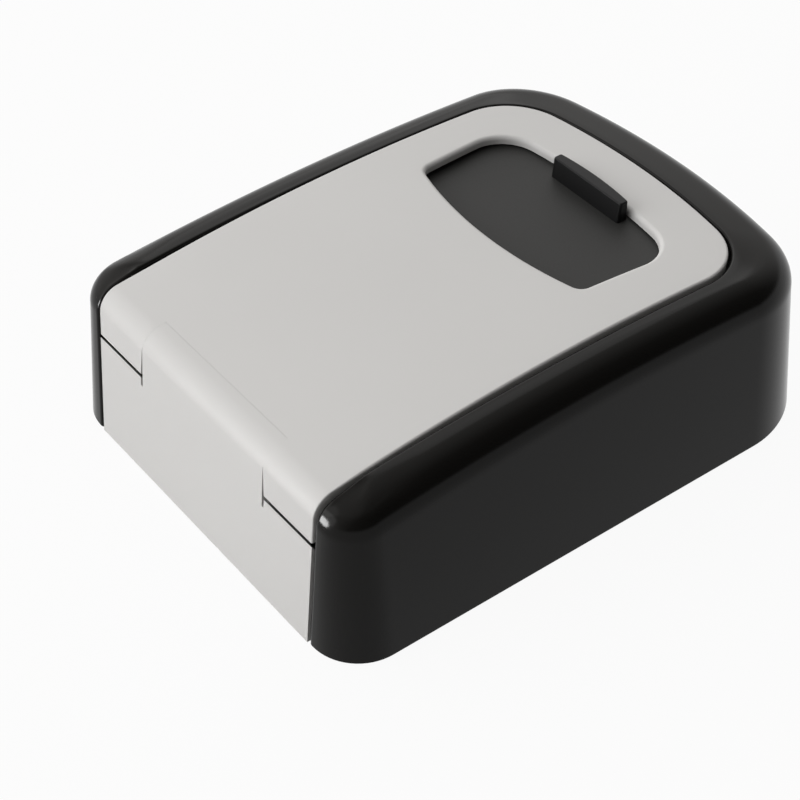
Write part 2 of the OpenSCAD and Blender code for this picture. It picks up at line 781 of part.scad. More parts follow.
// Latch plate: guided bar, two bolts and the fence teeth that pass under the gates
module latch_plate() {
    bar_y0 = stem_y - bar_w / 2;
    fence_bar = 3.2;
    x_gates = [for (x = dial_xs) x + gate_dx];
    color(steel)
    difference() {
        union() {
            block(-ear_out, ear_out, bar_y0, bar_y0 + bar_w, plate_bottom, plate_top);
            left_and_right()
                block(bolt_x / 2 - bolt_w / 2, bolt_x / 2 + bolt_w / 2, bar_y0, bolt_tip,
                    plate_bottom, plate_top);
            block(-bolt_x / 2, x_gates[3] + fence_w / 2, fence_y - fence_bar / 2, fence_y + fence_bar / 2,
                plate_bottom, plate_top);
            for (x = x_gates)
                block(x - fence_w / 2, x + fence_w / 2, fence_y - fence_t / 2, fence_y + fence_t / 2,
                    plate_bottom, shaft_z - fence_drop);
        }
        screw_hole(0, stem_y, plate_bottom - over, plate_top + over);
    }
}

// Dial: ten flats for the digits, grooved corners, and clutch slots in one end of the bore
module dial(i) {
    groove_r = 0.5;
    slot_w = tooth_w + 2 * slide_gap;
    color(ivory)
    translate([dial_xs[i], shaft_y, shaft_z]) rotate([90, 0, 90])
    difference() {
        translate([0, 0, -dial_w / 2]) cylinder(h = dial_w, r = dial_r, $fn = 10);
        translate([0, 0, -dial_w]) cylinder(h = 2 * dial_w, r = bore_r);
        for (k = [0 : 9]) rotate([0, 0, 36 * k]) {
            translate([dial_r, 0, -dial_w]) cylinder(h = 2 * dial_w, r = groove_r, $fn = 24);
            translate([0, -slot_w / 2, dial_w / 2 - tooth_l - gate_gap])
                cube([hub_r + tooth_h + 2 * slide_gap, slot_w, dial_w]);
        }
    }
}
module dial_1() { dial(0); }
module dial_2() { dial(1); }
module dial_3() { dial(2); }
module dial_4() { dial(3); }

// Gate sleeve: flange with one flat, clutch teeth, and a hub that carries its dial
module gate_sleeve(i) {
    face = dial_w / 2 + gate_gap;
    tooth_root = 0.5;
    color(die_cast)
    translate([dial_xs[i], shaft_y, shaft_z]) rotate([90, 0, 90])
    difference() {
        union() {
            difference() {
                translate([0, 0, face]) cylinder(h = gate_w, r = gate_r);
                translate([-far / 2, -far - gate_flat, 0]) cube([far, far, far]);
            }
            translate([0, 0, face - hub_l]) cylinder(h = hub_l + join, r = hub_r);
            for (k = [0 : 9]) rotate([0, 0, 36 * k])
                translate([hub_r - tooth_root, -tooth_w / 2, face - tooth_l])
                    cube([tooth_h + tooth_root, tooth_w, tooth_l + join]);
        }
        translate([0, 0, -far / 2]) cylinder(h = far, r = shaft_r + turn_gap);
    }
}
module gate_sleeve_1() { gate_sleeve(0); }
module gate_sleeve_2() { gate_sleeve(1); }
module gate_sleeve_3() { gate_sleeve(2); }
module gate_sleeve_4() { gate_sleeve(3); }

// Shaft with its clips and the slider that shifts it for a change of code
reset_w = 1.4;
reset_l = 4;
reset_x = -cover_in + clip_room + reset_w / 2;
module dial_shaft() {
    half = block_out - 0.8;
    color(steel) rod_x(-half, half - reset_travel, shaft_y, shaft_z, shaft_r);
}
module shaft_clips() {
    clip_gap = 0.05;
    clip_rim = 0.9;
    starts = concat(
        [for (x = dial_xs) x + dial_w / 2 + gate_gap - hub_l - clip_gap - clip_t],
        [for (x = dial_xs) x + gate_dx + gate_w / 2 + clip_gap],
        [reset_x + reset_w / 2 + clip_gap]
    );
    color(steel)
    for (x = starts) difference() {
        rod_x(x, x + clip_t, shaft_y, shaft_z, shaft_r + clip_rim);
        rod_x(x - over, x + clip_t + over, shaft_y, shaft_z, shaft_r + turn_gap / 2);
    }
}
module reset_slider() {
    x0 = reset_x - reset_w / 2;
    collar = 1.2;
    knob_w = 2.6;
    knob_half = reset_l / 2 + 1;
    knob_t = plate_t + 0.6;
    color(moulded_black)
    difference() {
        union() {
            block(x0, x0 + reset_w, shaft_y - reset_l / 2, shaft_y + reset_l / 2,
                plate_top - over, shaft_z + shaft_r + collar);
            block(x0, x0 + knob_w, shaft_y - knob_half, shaft_y + knob_half,
                plate_top - knob_t, plate_top);
        }
        rod_x(-far, far, shaft_y, shaft_z, shaft_r + turn_gap / 2);
    }
}

case_shell();
hinge_block();
hinge_pin();
hinge_screws();
door_skin();
door_liner();
lock_cover();
bearing_block_left();
bearing_block_right();
block_screws();
liner_screws();
cover_screws();
detent_spring();
shutter();
release_button();
latch_plate();
latch_screw();
dial_1();
dial_2();
dial_3();
dial_4();
gate_sleeve_1();
gate_sleeve_2();
gate_sleeve_3();
gate_sleeve_4();
dial_shaft();
shaft_clips();
reset_slider();
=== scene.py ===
# Wall key lock box with a four-dial lock: the looks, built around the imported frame.
# Shapes are worked out in millimetres and turned to metres when a mesh is made.
import json
import math

import bmesh
import bpy
from mathutils import Matrix, Vector
from mathutils.geometry import delaunay_2d_cdt

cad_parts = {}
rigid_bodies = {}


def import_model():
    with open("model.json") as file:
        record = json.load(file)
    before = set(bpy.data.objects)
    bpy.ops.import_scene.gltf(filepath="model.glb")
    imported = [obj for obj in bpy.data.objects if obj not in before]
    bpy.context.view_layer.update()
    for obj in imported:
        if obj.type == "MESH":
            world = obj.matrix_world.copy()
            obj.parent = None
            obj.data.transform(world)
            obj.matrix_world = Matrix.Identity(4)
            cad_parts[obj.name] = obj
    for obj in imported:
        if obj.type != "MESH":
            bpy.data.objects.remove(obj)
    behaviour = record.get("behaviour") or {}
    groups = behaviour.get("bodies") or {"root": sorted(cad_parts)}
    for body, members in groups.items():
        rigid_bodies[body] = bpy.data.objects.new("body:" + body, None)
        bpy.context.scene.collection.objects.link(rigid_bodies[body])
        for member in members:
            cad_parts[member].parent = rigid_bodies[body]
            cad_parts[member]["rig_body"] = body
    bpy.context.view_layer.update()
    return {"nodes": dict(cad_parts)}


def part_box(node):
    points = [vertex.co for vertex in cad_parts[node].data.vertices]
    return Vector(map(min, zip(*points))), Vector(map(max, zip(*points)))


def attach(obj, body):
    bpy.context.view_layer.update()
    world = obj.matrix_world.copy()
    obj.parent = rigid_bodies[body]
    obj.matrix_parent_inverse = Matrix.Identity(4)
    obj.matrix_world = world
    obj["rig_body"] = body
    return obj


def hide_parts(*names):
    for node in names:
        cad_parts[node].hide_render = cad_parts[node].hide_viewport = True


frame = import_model()
mm = 0.001
overcut = 1  # a cutter runs this far past the faces it opens
print("frame loaded:", len(frame["nodes"]), "nodes")


def nodeBox(node):
    low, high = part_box(node)
    return low / mm, high / mm


# Mesh helpers

def newPiece(name, mesh):
    piece = bpy.data.objects.new(name, mesh)
    bpy.context.scene.collection.objects.link(piece)
    return piece


def solidFrom(name, points, faces, weld=0.002):
    bm = bmesh.new()
    verts = [bm.verts.new(Vector(p) * mm) for p in points]
    for face in faces:
        try:
            bm.faces.new([verts[i] for i in face])
        except ValueError:
            pass  # the same face twice, where a strip closes on itself
    bmesh.ops.remove_doubles(bm, verts=bm.verts, dist=weld * mm)
    bmesh.ops.dissolve_degenerate(bm, edges=bm.edges, dist=weld * mm)
    bmesh.ops.recalc_face_normals(bm, faces=bm.faces)
    openEdges = sum(1 for e in bm.edges if not e.is_manifold)
    if openEdges:
        print("  ", name, "has", openEdges, "open edges")
    mesh = bpy.data.meshes.new(name)
    bm.to_mesh(mesh)
    bm.free()
    return newPiece(name, mesh)


def evaluated(piece):
    graph = bpy.context.evaluated_depsgraph_get()
    graph.update()
    return bpy.data.meshes.new_from_object(piece.evaluated_get(graph))


def bake(piece):
    mesh = evaluated(piece)
    piece.modifiers.clear()
    piece.data = mesh
    mesh.name = piece.name
    return piece


def carve(piece, cutter, operation="DIFFERENCE"):
    cut = piece.modifiers.new("carve", "BOOLEAN")
    cut.operation = operation
    cut.solver = "EXACT"
    cut.object = cutter
    bake(piece)
    bpy.data.objects.remove(cutter)
    return piece


def ringFaces(n, rings, capped=True):
    # Faces of a stack of rings with n points each
    faces = [(k * n + i, k * n + (i + 1) % n, (k + 1) * n + (i + 1) % n, (k + 1) * n + i)
             for k in range(rings - 1) for i in range(n)]
    if capped:
        faces += [tuple(range(n)), tuple(range((rings - 1) * n, rings * n))]
    return faces


def prismZ(outline, z0, z1, name="cutter"):
    points = [(p[0], p[1], z) for z in (z0, z1) for p in outline]
    return solidFrom(name, points, ringFaces(len(outline), 2))


def prismX(profile, x0, x1, name="cutter"):
    points = [(x, p[0], p[1]) for x in (x0, x1) for p in profile]
    return solidFrom(name, points, ringFaces(len(profile), 2))


def brick(x0, x1, y0, y1, z0, z1, name="cutter"):
    return prismZ([(x0, y0), (x1, y0), (x1, y1), (x0, y1)], z0, z1, name)


def disc(x, y, r, steps=40):
    turns = [2 * math.pi * i / steps for i in range(steps)]
    return [(x + r * math.cos(a), y + r * math.sin(a)) for a in turns]


def quarterTurn(steps):
    return [math.pi / 2 * i / steps for i in range(steps + 1)]


def shaded(piece, sharpAngle=35):
    piece.data.shade_smooth()
    piece.data.set_sharp_from_angle(angle=math.radians(sharpAngle))
    even = piece.modifiers.new("evenNormals", "WEIGHTED_NORMAL")
    even.keep_sharp = True
    return bake(piece)


def softened(piece, width, segments=2, limit=30):
    bevel = piece.modifiers.new("softEdges", "BEVEL")
    bevel.width = width * mm
    bevel.segments = segments
    bevel.limit_method = "ANGLE"
    bevel.angle_limit = math.radians(limit)
    return bake(piece)


def dressed(piece, material, slot, body, *nodes):
    piece.data.materials.clear()
    piece.data.materials.append(material)
    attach(piece, body)
    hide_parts(*nodes)
    return piece


# Shader helpers

def addNode(tree, kind, place=(0, 0), **values):
    node = tree.nodes.new(kind)
    node.location = place
    for key, value in values.items():
        setattr(node, key, value)
    return node


def setInputs(node, values):
    for name, value in values.items():
        node.inputs[name].default_value = value


def newGroup(name, inputs, outputs):
    group = bpy.data.node_groups.new(name, "ShaderNodeTree")
    for label, start in inputs.items():
        socket = group.interface.new_socket(label, in_out="INPUT", socket_type="NodeSocketFloat")
        socket.default_value = start
    for label in outputs:
        group.interface.new_socket(label, in_out="OUTPUT", socket_type="NodeSocketFloat")
    return group, addNode(group, "NodeGroupInput", (-700, 0)), addNode(group, "NodeGroupOutput", (500, 0))


def makeSurfaceGroup():
    # Fine grain and slow clouding, both on Object coordinates
    scales = {"Grain Scale": 900.0, "Cloud Scale": 25.0}
    group, enter, leave = newGroup("surfaceGrain", scales, ("Grain", "Cloud"))
    place = addNode(group, "ShaderNodeTexCoord", (-700, 250))
    grain = addNode(group, "ShaderNodeTexNoise", (-400, 250))
    setInputs(grain, {"Detail": 3.0, "Roughness": 0.55})
    cloud = addNode(group, "ShaderNodeTexNoise", (-400, 0))
    setInputs(cloud, {"Detail": 4.0})
    for texture, label in ((grain, "Grain"), (cloud, "Cloud")):
        group.links.new(place.outputs["Object"], texture.inputs["Vector"])
        group.links.new(enter.outputs[label + " Scale"], texture.inputs["Scale"])
        group.links.new(texture.outputs["Fac"], leave.inputs[label])
    return group


def makeWearGroup():
    # Mask of rubbed convex edges, broken up by a noise
    levels = {"Edge From": 0.53, "Edge To": 0.6, "Break Scale": 140.0}
    group, enter, leave = newGroup("edgeWear", levels, ("Wear",))
    place = addNode(group, "ShaderNodeTexCoord", (-700, -250))
    bend = addNode(group, "ShaderNodeNewGeometry", (-700, 250))
    edge = addNode(group, "ShaderNodeMapRange", (-300, 200))
    breakUp = addNode(group, "ShaderNodeTexNoise", (-500, -250))
    setInputs(breakUp, {"Detail": 5.0})
    patchy = addNode(group, "ShaderNodeMapRange", (-250, -250))
    setInputs(patchy, {"From Min": 0.45, "From Max": 0.7})
    both = addNode(group, "ShaderNodeMath", (200, 0), operation="MULTIPLY")
    group.links.new(bend.outputs["Pointiness"], edge.inputs["Value"])
    group.links.new(enter.outputs["Edge From"], edge.inputs["From Min"])
    group.links.new(enter.outputs["Edge To"], edge.inputs["From Max"])
    group.links.new(place.outputs["Object"], breakUp.inputs["Vector"])
    group.links.new(enter.outputs["Break Scale"], breakUp.inputs["Scale"])
    group.links.new(breakUp.outputs["Fac"], patchy.inputs["Value"])
    group.links.new(edge.outputs["Result"], both.inputs[0])
    group.links.new(patchy.outputs["Result"], both.inputs[1])
    group.links.new(both.outputs["Value"], leave.inputs["Wear"])
    return group


surfaceGroup = makeSurfaceGroup()
wearGroup = makeWearGroup()


def makeFinish(name, look):
    material = bpy.data.materials.new(name)
    material.use_nodes = True
    tree = material.node_tree
    shader = tree.nodes["Principled BSDF"]
    setInputs(shader, {"Metallic": look.get("metallic", 0.0),
                       "Specular IOR Level": look.get("specular", 0.5)})
    grain = addNode(tree, "ShaderNodeGroup", (-900, 100), node_tree=surfaceGroup)
    setInputs(grain, {"Grain Scale": look["grainScale"], "Cloud Scale": look["cloudScale"]})
    tone = addNode(tree, "ShaderNodeMix", (-600, 300), data_type="RGBA")
    setInputs(tone, {"A": (*look["colour"], 1), "B": (*look["colourTo"], 1)})
    tree.links.new(grain.outputs["Cloud"], tone.inputs["Factor"])
    colour = tone.outputs["Result"]
    if "wearColour" in look:
        wear = addNode(tree, "ShaderNodeGroup", (-900, 500), node_tree=wearGroup)
        setInputs(wear, {"Edge From": look["wearFrom"], "Edge To": look["wearTo"]})
        rubbed = addNode(tree, "ShaderNodeMix", (-350, 400), data_type="RGBA")
        setInputs(rubbed, {"B": (*look["wearColour"], 1)})
        tree.links.new(colour, rubbed.inputs["A"])
        tree.links.new(wear.outputs["Wear"], rubbed.inputs["Factor"])
        colour = rubbed.outputs["Result"]
    tree.links.new(colour, shader.inputs["Base Color"])
    rough = addNode(tree, "ShaderNodeMapRange", (-600, 0))
    setInputs(rough, {"To Min": look["roughness"][0], "To Max": look["roughness"][1]})
    tree.links.new(grain.outputs["Grain"], rough.inputs["Value"])
    tree.links.new(rough.outputs["Result"], shader.inputs["Roughness"])
    bump = addNode(tree, "ShaderNodeBump", (-350, -250))
    setInputs(bump, {"Strength": look["bump"], "Distance": look["bumpDepth"] * mm})
    tree.links.new(grain.outputs["Grain"], bump.inputs["Height"])
    tree.links.new(bump.outputs["Normal"], shader.inputs["Normal"])
    return material


finishes = {
    "caseEnamel": {
        "colour": (0.0052, 0.0048, 0.0043), "colourTo": (0.0072, 0.0068, 0.0062),
        "roughness": (0.12, 0.2), "bump": 0.12, "bumpDepth": 0.015,
        "grainScale": 1500, "cloudScale": 22, "specular": 0.12,
        "wearColour": (0.03, 0.03, 0.031), "wearFrom": 0.56, "wearTo": 0.7,
    },
    "doorEnamel": {
        "colour": (0.555, 0.55, 0.543), "colourTo": (0.6, 0.595, 0.588),
        "roughness": (0.55, 0.7), "bump": 0.25, "bumpDepth": 0.015,
        "grainScale": 1700, "cloudScale": 18, "specular": 0.3,
    },
    "shutterPlastic": {
        "colour": (0.022, 0.022, 0.0213), "colourTo": (0.027, 0.027, 0.026),
        "roughness": (0.5, 0.66), "bump": 0.45, "bumpDepth": 0.02,
        "grainScale": 2600, "cloudScale": 30, "specular": 0.25,
    },
    "tabPlastic": {
        "colour": (0.0045, 0.0045, 0.0048), "colourTo": (0.006, 0.006, 0.0063),
        "roughness": (0.34, 0.48), "bump": 0.3, "bumpDepth": 0.015,
        "grainScale": 2200, "cloudScale": 40, "specular": 0.15,
    },
    "liningPlastic": {
        "colour": (0.011, 0.011, 0.012), "colourTo": (0.017, 0.017, 0.018),
        "roughness": (0.38, 0.55), "bump": 0.4, "bumpDepth": 0.02,
        "grainScale": 2200, "cloudScale": 35, "specular": 0.5,
    },
    "platedSteel": {
        "colour": (0.56, 0.57, 0.59), "colourTo": (0.66, 0.66, 0.67),
        "roughness": (0.2, 0.36), "bump": 0.2, "bumpDepth": 0.01, "metallic": 1.0,
        "grainScale": 2400, "cloudScale": 60,
        "wearColour": (0.78, 0.78, 0.78), "wearFrom": 0.53, "wearTo": 0.62,
    },
    "castZinc": {
        "colour": (0.42, 0.43, 0.45), "colourTo": (0.52, 0.53, 0.545),
        "roughness": (0.36, 0.55), "bump": 0.5, "bumpDepth": 0.03, "metallic": 1.0,
        "grainScale": 1300, "cloudScale": 45,
        "wearColour": (0.7, 0.7, 0.71), "wearFrom": 0.53, "wearTo": 0.62,
    },
    "ivoryPlastic": {
        "colour": (0.74, 0.735, 0.7), "colourTo": (0.8, 0.795, 0.765),
        "roughness": (0.32, 0.45), "bump": 0.2, "bumpDepth": 0.01,
        "grainScale": 2600, "cloudScale": 50, "specular": 0.5,
    },
    "digitInk": {
        "colour": (0.012, 0.012, 0.013), "colourTo": (0.02, 0.02, 0.021),
        "roughness": (0.4, 0.55), "bump": 0.1, "bumpDepth": 0.005,
        "grainScale": 3000, "cloudScale": 80, "specular": 0.4,
    },
}
finish = {name: makeFinish(name, look) for name, look in finishes.items()}
print("finishes made:", len(finish))

# Case shell: leaning wall, rounded edge, crowned rim, lip, ledge and hollow

caseShell = {
    "depth": 36, "draft": 5, "topCorner": 21, "lowCorner": 10, "archR": 142, "edgeR": 6.4, "armEdgeR": 5.2,
    "crownR": 520, "crownY": 7, "backWall": 3, "wall": 2.8, "lipR": 0.5, "armLipR": 0.6,
    "footR": 0.4, "footBend": 0.3,  # the bend is the share of the foot's radius left at mid-turn
    "doorGap": 0.6, "doorCorner": 13, "doorArch": 129, "ledge": 2.5, "cavityCorner": 7.5, "ledgeZ": 27.9,
    "slotY": -44.457, "armRimY": -47, "ribs": (-30, -5, 20), "ribX": 14, "ribWall": 2, "pocketTop": 23.2,
    "wallScrews": (36, 50), "wallScrewR": 2.5, "wallSeatR": 5, "seatSteps": 56,
    "tongueScrews": 32, "tongueY": -40.457, "tongueR": 1.55,
    "keeperX": (6.4, 12.4), "keeperY": (40, 46.2), "keeperZ": (13, 14.8),
    "lowSteps": 16, "nearSteps": 5, "sideSteps": 44, "cornerSteps": 26, "archSteps": 22,
    "edgeSteps": 12, "rimSteps": 4, "lipSteps": 4,
    "blendY": -38, "blendStep": 0.4, "blendPasses": 18, "blendShare": 0.5,
    "blendDepth": 1.5, "blendClear": 0.05,
}
caseLow, caseHigh = nodeBox("case_shell")
doorLow, doorHigh = nodeBox("door_skin")
pinLow, pinHigh = nodeBox("hinge_pin")
pinY, pinZ = (pinLow.y + pinHigh.y) / 2, (pinLow.z + pinHigh.z) / 2
lean = math.tan(math.radians(caseShell["draft"]))


def crownZ(peak, y, r=caseShell["crownR"]):
    return peak - r + math.sqrt(r * r - (y - caseShell["crownY"]) ** 2)


def crownNormal(y):
    tilt = (y - caseShell["crownY"]) / caseShell["crownR"]
    return Vector((0, tilt, math.sqrt(1 - tilt * tilt)))


def archedTop(halfW, yTop, cornerR, archR, cornerSteps, archSteps):
    # Round corner and arched end of a plan's right half: (x, y, nx, ny), from the side to the middle
    cx = halfW - cornerR
    cy = yTop - archR + math.sqrt((archR - cornerR) ** 2 - cx * cx)
    turn = math.atan2(cx, cy - yTop + archR)
    points = []
    for i in range(cornerSteps + 1):
        a = (math.pi / 2 - turn) * i / cornerSteps
        points.append((cx + cornerR * math.cos(a), cy + cornerR * math.sin(a), math.cos(a), math.sin(a)))
    for i in range(1, archSteps + 1):
        a = math.pi / 2 - turn + turn * i / archSteps
        points.append((archR * math.cos(a), yTop - archR + archR * math.sin(a), math.cos(a), math.sin(a)))
    return points


def rimSection(x, y, nx, ny, inner, r):
    # From the wall plane up the leaning side and over the rounded edge, until the edge
    # runs tangent towards the inner point: (point, outward normal)
    s = caseShell
    shoulder = crownZ(s["depth"], y) - r
    across = (x - inner.x) * nx + (y - inner.y) * ny - lean * shoulder - r
    rise = inner.z - shoulder
    turn = math.pi - math.atan2(rise, across) - math.acos(min(r / math.hypot(across, rise), 1))
    section = []
    outward = Vector((nx, ny, lean)).normalized()
    foot, bend = s["footR"], s["footR"] * s["footBend"]
    for d, z in ((foot, 0), (bend, bend), (lean * foot, foot), (lean * shoulder / 2, shoulder / 2)):
        section.append((Vector((x - nx * d, y - ny * d, z)), outward))
    for i in range(s["edgeSteps"] + 1):
        a = turn * i / s["edgeSteps"]
        d = lean * shoulder + r * (1 - math.cos(a))
        normal = Vector((nx * math.cos(a), ny * math.cos(a), math.sin(a)))
        section.append((Vector((x - nx * d, y - ny * d, shoulder + r * math.sin(a))), normal))
    return section


def makeCase():
    s = caseShell
    halfW, top = caseHigh.x, caseHigh.y
    openHw, openTop = doorHigh.x + s["doorGap"], doorHigh.y + s["doorGap"]
    cavityHw, cavityTop = doorHigh.x - s["ledge"], doorHigh.y - s["ledge"]
    outerTop = archedTop(halfW, top, s["topCorner"], s["archR"], s["cornerSteps"], s["archSteps"])
    openEnd = archedTop(openHw, openTop, s["doorCorner"] + s["doorGap"], s["doorArch"] + s["doorGap"],
                        s["cornerSteps"], s["archSteps"])
    cavityEnd = archedTop(cavityHw, cavityTop, s["cavityCorner"], s["doorArch"] - s["ledge"],
                          s["cornerSteps"], s["archSteps"])
    lowR, lowY = s["lowCorner"], -top + s["lowCorner"]
    outer, cavity = [(openHw + s["armLipR"], -top, 0, -1)], [None]
    for i in range(s["lowSteps"] + 1):
        a = math.pi / 2 * (i / s["lowSteps"] - 1)
        outer.append((halfW - lowR + lowR * math.cos(a), lowY + lowR * math.sin(a), math.cos(a), math.sin(a)))
        cavity.append(None)
    for i in range(1, s["nearSteps"] + 1):
        y = lowY + (s["slotY"] - lowY) * i / s["nearSteps"]
        outer.append((halfW, y, 1, 0))
        cavity.append((cavityHw, y))
    slotColumn = len(outer) - 1
    armStep = (s["slotY"] - s["armRimY"]) / slotColumn
    inner = [(openHw, s["armRimY"] + armStep * i, 1, 0) for i in range(slotColumn + 1)]
    for i in range(1, s["sideSteps"]):
        t = i / s["sideSteps"]
        for row, end, x in ((outer, outerTop, halfW), (inner, openEnd, openHw)):
            row.append((x, s["slotY"] + (end[0][1] - s["slotY"]) * t, 1, 0))
        cavity.append((cavityHw, s["slotY"] + (cavityEnd[0][1] - s["slotY"]) * t))
    outer += outerTop
    inner += openEnd
    cavity += cavityEnd

    columns = []
    endStrip = []
    for i, place in enumerate(outer):
        arm = max(1 - i / s["lowSteps"], 0)
        lip = s["lipR"] + (s["armLipR"] - s["lipR"]) * arm
        out = Vector((inner[i][2], inner[i][3], 0))
        edge = Vector((inner[i][0], inner[i][1], 0))
        start = edge + out * lip
        start.z = crownZ(s["depth"], start.y)
        section = rimSection(*place, start, s["edgeR"] + (s["armEdgeR"] - s["edgeR"]) * arm)
        rimEnd = section[-1][0]
        run = rimEnd - start
        normal = crownNormal(start.y)
        if i == 0:
            normal = Vector((0, run.z, -run.y)).normalized()
        if i > slotColumn + 1:
            along = Vector((-out.y, out.x, out.x * -normal.y / normal.z))
            normal = run.cross(along).normalized()
        section += [(rimEnd.lerp(start, j / s["rimSteps"]), normal) for j in range(1, s["rimSteps"] + 1)]

        def lipArc(p, n):
            turns = quarterTurn(s["lipSteps"])
            arc = [p - out * lip * math.sin(a) - n * lip * (1 - math.cos(a)) for a in turns]
            return [Vector((q.x, q.y, max(q.z, 0))) for q in arc]

        if i == 0:
            endStrip = [lipArc(p, n) for p, n in section]
        column = [p for p, n in section] + lipArc(start, normal)[1:]
        if i >= slotColumn:
            column.append(Vector((edge.x, edge.y, s["ledgeZ"])))
            column.append(Vector((cavity[i][0], cavity[i][1], s["ledgeZ"])))
            column.append(Vector((cavity[i][0], cavity[i][1], s["backWall"])))
        columns.append(column)

    points, faces = [], []

    def add(p, side):
        points.append((p.x * side, p.y, p.z))
        return len(points) - 1

    ends = {}
    for side in (1, -1):
        grid = [[add(p, side) for p in column] for column in columns]
        strip = [[add(p, side) for p in arc] for arc in endStrip]
        for rows in (grid, strip):
            for a, b in zip(rows, rows[1:]):
                for k in range(min(len(a), len(b)) - 1):
                    faces.append((a[k], b[k], b[k + 1], a[k + 1]))
        lipEnd = len(columns[0]) - 1
        low = add(Vector((openHw, s["slotY"], 0)), side)
        armFace = [arc[-1] for arc in strip] + [c[lipEnd] for c in grid[1:slotColumn + 1]]
        faces.append(tuple(armFace + [grid[slotColumn][lipEnd + 1], low]))
        ends[side] = {
            "bottom": [low] + strip[0][::-1] + [c[0] for c in grid],
            "step": [low] + grid[slotColumn][lipEnd + 1:lipEnd + 4],
            "floor": [c[lipEnd + 3] for c in grid[slotColumn:]],
        }
    for key in ("bottom", "step", "floor"):
        faces.append(tuple(ends[1][key] + ends[-1][key][::-1]))
    case = solidFrom("caseBody", points, faces)

    # The arms' tops run smoothly into the rim
    bm = bmesh.new()
    bm.from_mesh(case.data)
    lipX = openHw + s["armLipR"] + s["blendClear"]
    for k in range(s["blendPasses"]):
        bandY = s["blendY"] - k * s["blendStep"]
        band = []
        for v in bm.verts:
            x, y, z = v.co / mm
            if y < bandY and abs(x) > lipX and z > crownZ(s["depth"], y) - s["blendDepth"]:
                band.append(v)
        bmesh.ops.smooth_vert(bm, verts=band, factor=s["blendShare"],
                              use_axis_x=True, use_axis_y=True, use_axis_z=True)
    bm.to_mesh(case.data)
    bm.free()

    # Hollows and holes that show from behind and with the door open
    inset = s["wall"] + lean * s["pocketTop"]
    hollow = [(x - nx * inset, y - ny * inset) for x, y, nx, ny in outer]
    guard = [(openHw + s["wall"], lowY)]
    guard += [(x + nx * s["wall"], y + ny * s["wall"]) for x, y, nx, ny in inner]

    def between(chain, low, high):
        kept = []
        for a, b in zip(chain, chain[1:]):
            for limit in (low, high):
                if (a[1] - limit) * (b[1] - limit) < 0:
                    t = (limit - a[1]) / (b[1] - a[1])
                    kept.append((a[0] + (b[0] - a[0]) * t, a[1] + (b[1] - a[1]) * t))
            if low <= b[1] <= high:
                kept.append(b)
        return kept

    def pockets(outside, inside):
        for side in (1, -1):
            carve(case, prismZ([(x * side, y) for x, y in outside + inside[::-1]], -overcut, s["pocketTop"]))

    half = s["ribWall"] / 2
    ribs = s["ribs"]
    bays = [(lowY, ribs[0] - half), (ribs[0] + half, ribs[1] - half), (ribs[1] + half, ribs[2] - half)]
    for low, high in bays:
        pockets(between(hollow, low, high), between(guard, low, high))
    corners = [[p for p in between(chain, ribs[2] + half, top) if p[0] >= s["ribX"] + s["ribWall"]]
               for chain in (hollow, guard)]
    pockets(*corners)
    topOut, topIn = [[p for p in chain if p[1] > 0 and p[0] <= s["ribX"]] for chain in (hollow, guard)]
    topBay = topOut + [(-x, y) for x, y in topOut[-2::-1]] + [(-x, y) for x, y in topIn] + topIn[-2::-1]
    carve(case, prismZ(topBay, -overcut, s["pocketTop"]))
    floorTop = s["backWall"] + overcut
    for sx in (1, -1):
        for sy in (1, -1):
            x, y = sx * s["wallScrews"][0] / 2, sy * s["wallScrews"][1] / 2
            carve(case, prismZ(disc(x, y, s["wallScrewR"]), -overcut, floorTop))
            carve(case, prismZ(disc(x, y, s["wallSeatR"], s["seatSteps"]), s["backWall"] / 2, floorTop))
        carve(case, prismZ(disc(sx * s["tongueScrews"] / 2, s["tongueY"], s["tongueR"]), -overcut, floorTop))
        keeper = sorted(sx * x for x in s["keeperX"])
        carve(case, brick(*keeper, *s["keeperY"], *s["keeperZ"]))
    return shaded(case)


case = makeCase()
dressed(case, finish["caseEnamel"], "case_black", "case", "case_shell")
print("case made:", len(case.data.polygons), "faces")

# Door skin: a plate bent over the hinge barrel, with rounded edges and the window

doorSkin = {
    "crownR": 415, "barrelR": 4.7, "footZ": 22.744, "edgeR": 0.5, "footEdgeR": 0.25, "cornerR": 0.35,
    "windowEdgeR": 0.9, "skirtZ": 28.1, "barrelDepth": 4, "steep": 0.5, "blend": 7, "skin": 1.7,
    "hollowY": -44.16, "hollowEnd": 52, "hollowStep": 2, "shutterRoom": (26.6, -19, 36.3, 34),
    "knuckleHw": 19.01, "knuckleGap": 0.2, "notchTurn": (-60, 140), "notchReach": 12,
    "jogHw": 19.7, "jogZ": (-6, 1.6), "footLap": 0.05,
    "windowX": -0.4, "windowTop": 33.36, "windowH": 26.9, "windowTopW": 47.9, "windowLowW": 46.15,
    "windowTopR": 8, "windowLowR": 2.4, "windowTopArch": 120, "windowLowArch": 83,
    "lowArchSteps": 14, "lowCornerSteps": 12, "topCornerSteps": 16, "topArchSteps": 16,
    "windowSideSteps": 8, "windowLeast": 0.05,  # points nearer than this are left out
    "wallSteps": 5, "barrelSteps": 18, "crownStep": 3, "gridX": 3.4, "gridClear": 1.2, "rowClear": 0.1,
    "footSteps": 12, "footCornerSteps": 6, "edgeSteps": 4, "windowEdgeSteps": 6,
    "cornerSteps": 18, "archSteps": 20, "notchSteps": 100, "ringSteps": 72,
}
frontLean = math.radians(caseShell["draft"])
toCrown = math.sqrt((doorSkin["crownR"] - doorSkin["barrelR"]) ** 2 - (pinY - caseShell["crownY"]) ** 2)
doorFront = pinZ - toCrown + doorSkin["crownR"]


def endFaceY(z):
    return caseLow.y + lean * z


def roundPin(r, a):
    return (pinY + r * math.cos(a), pinZ + r * math.sin(a))


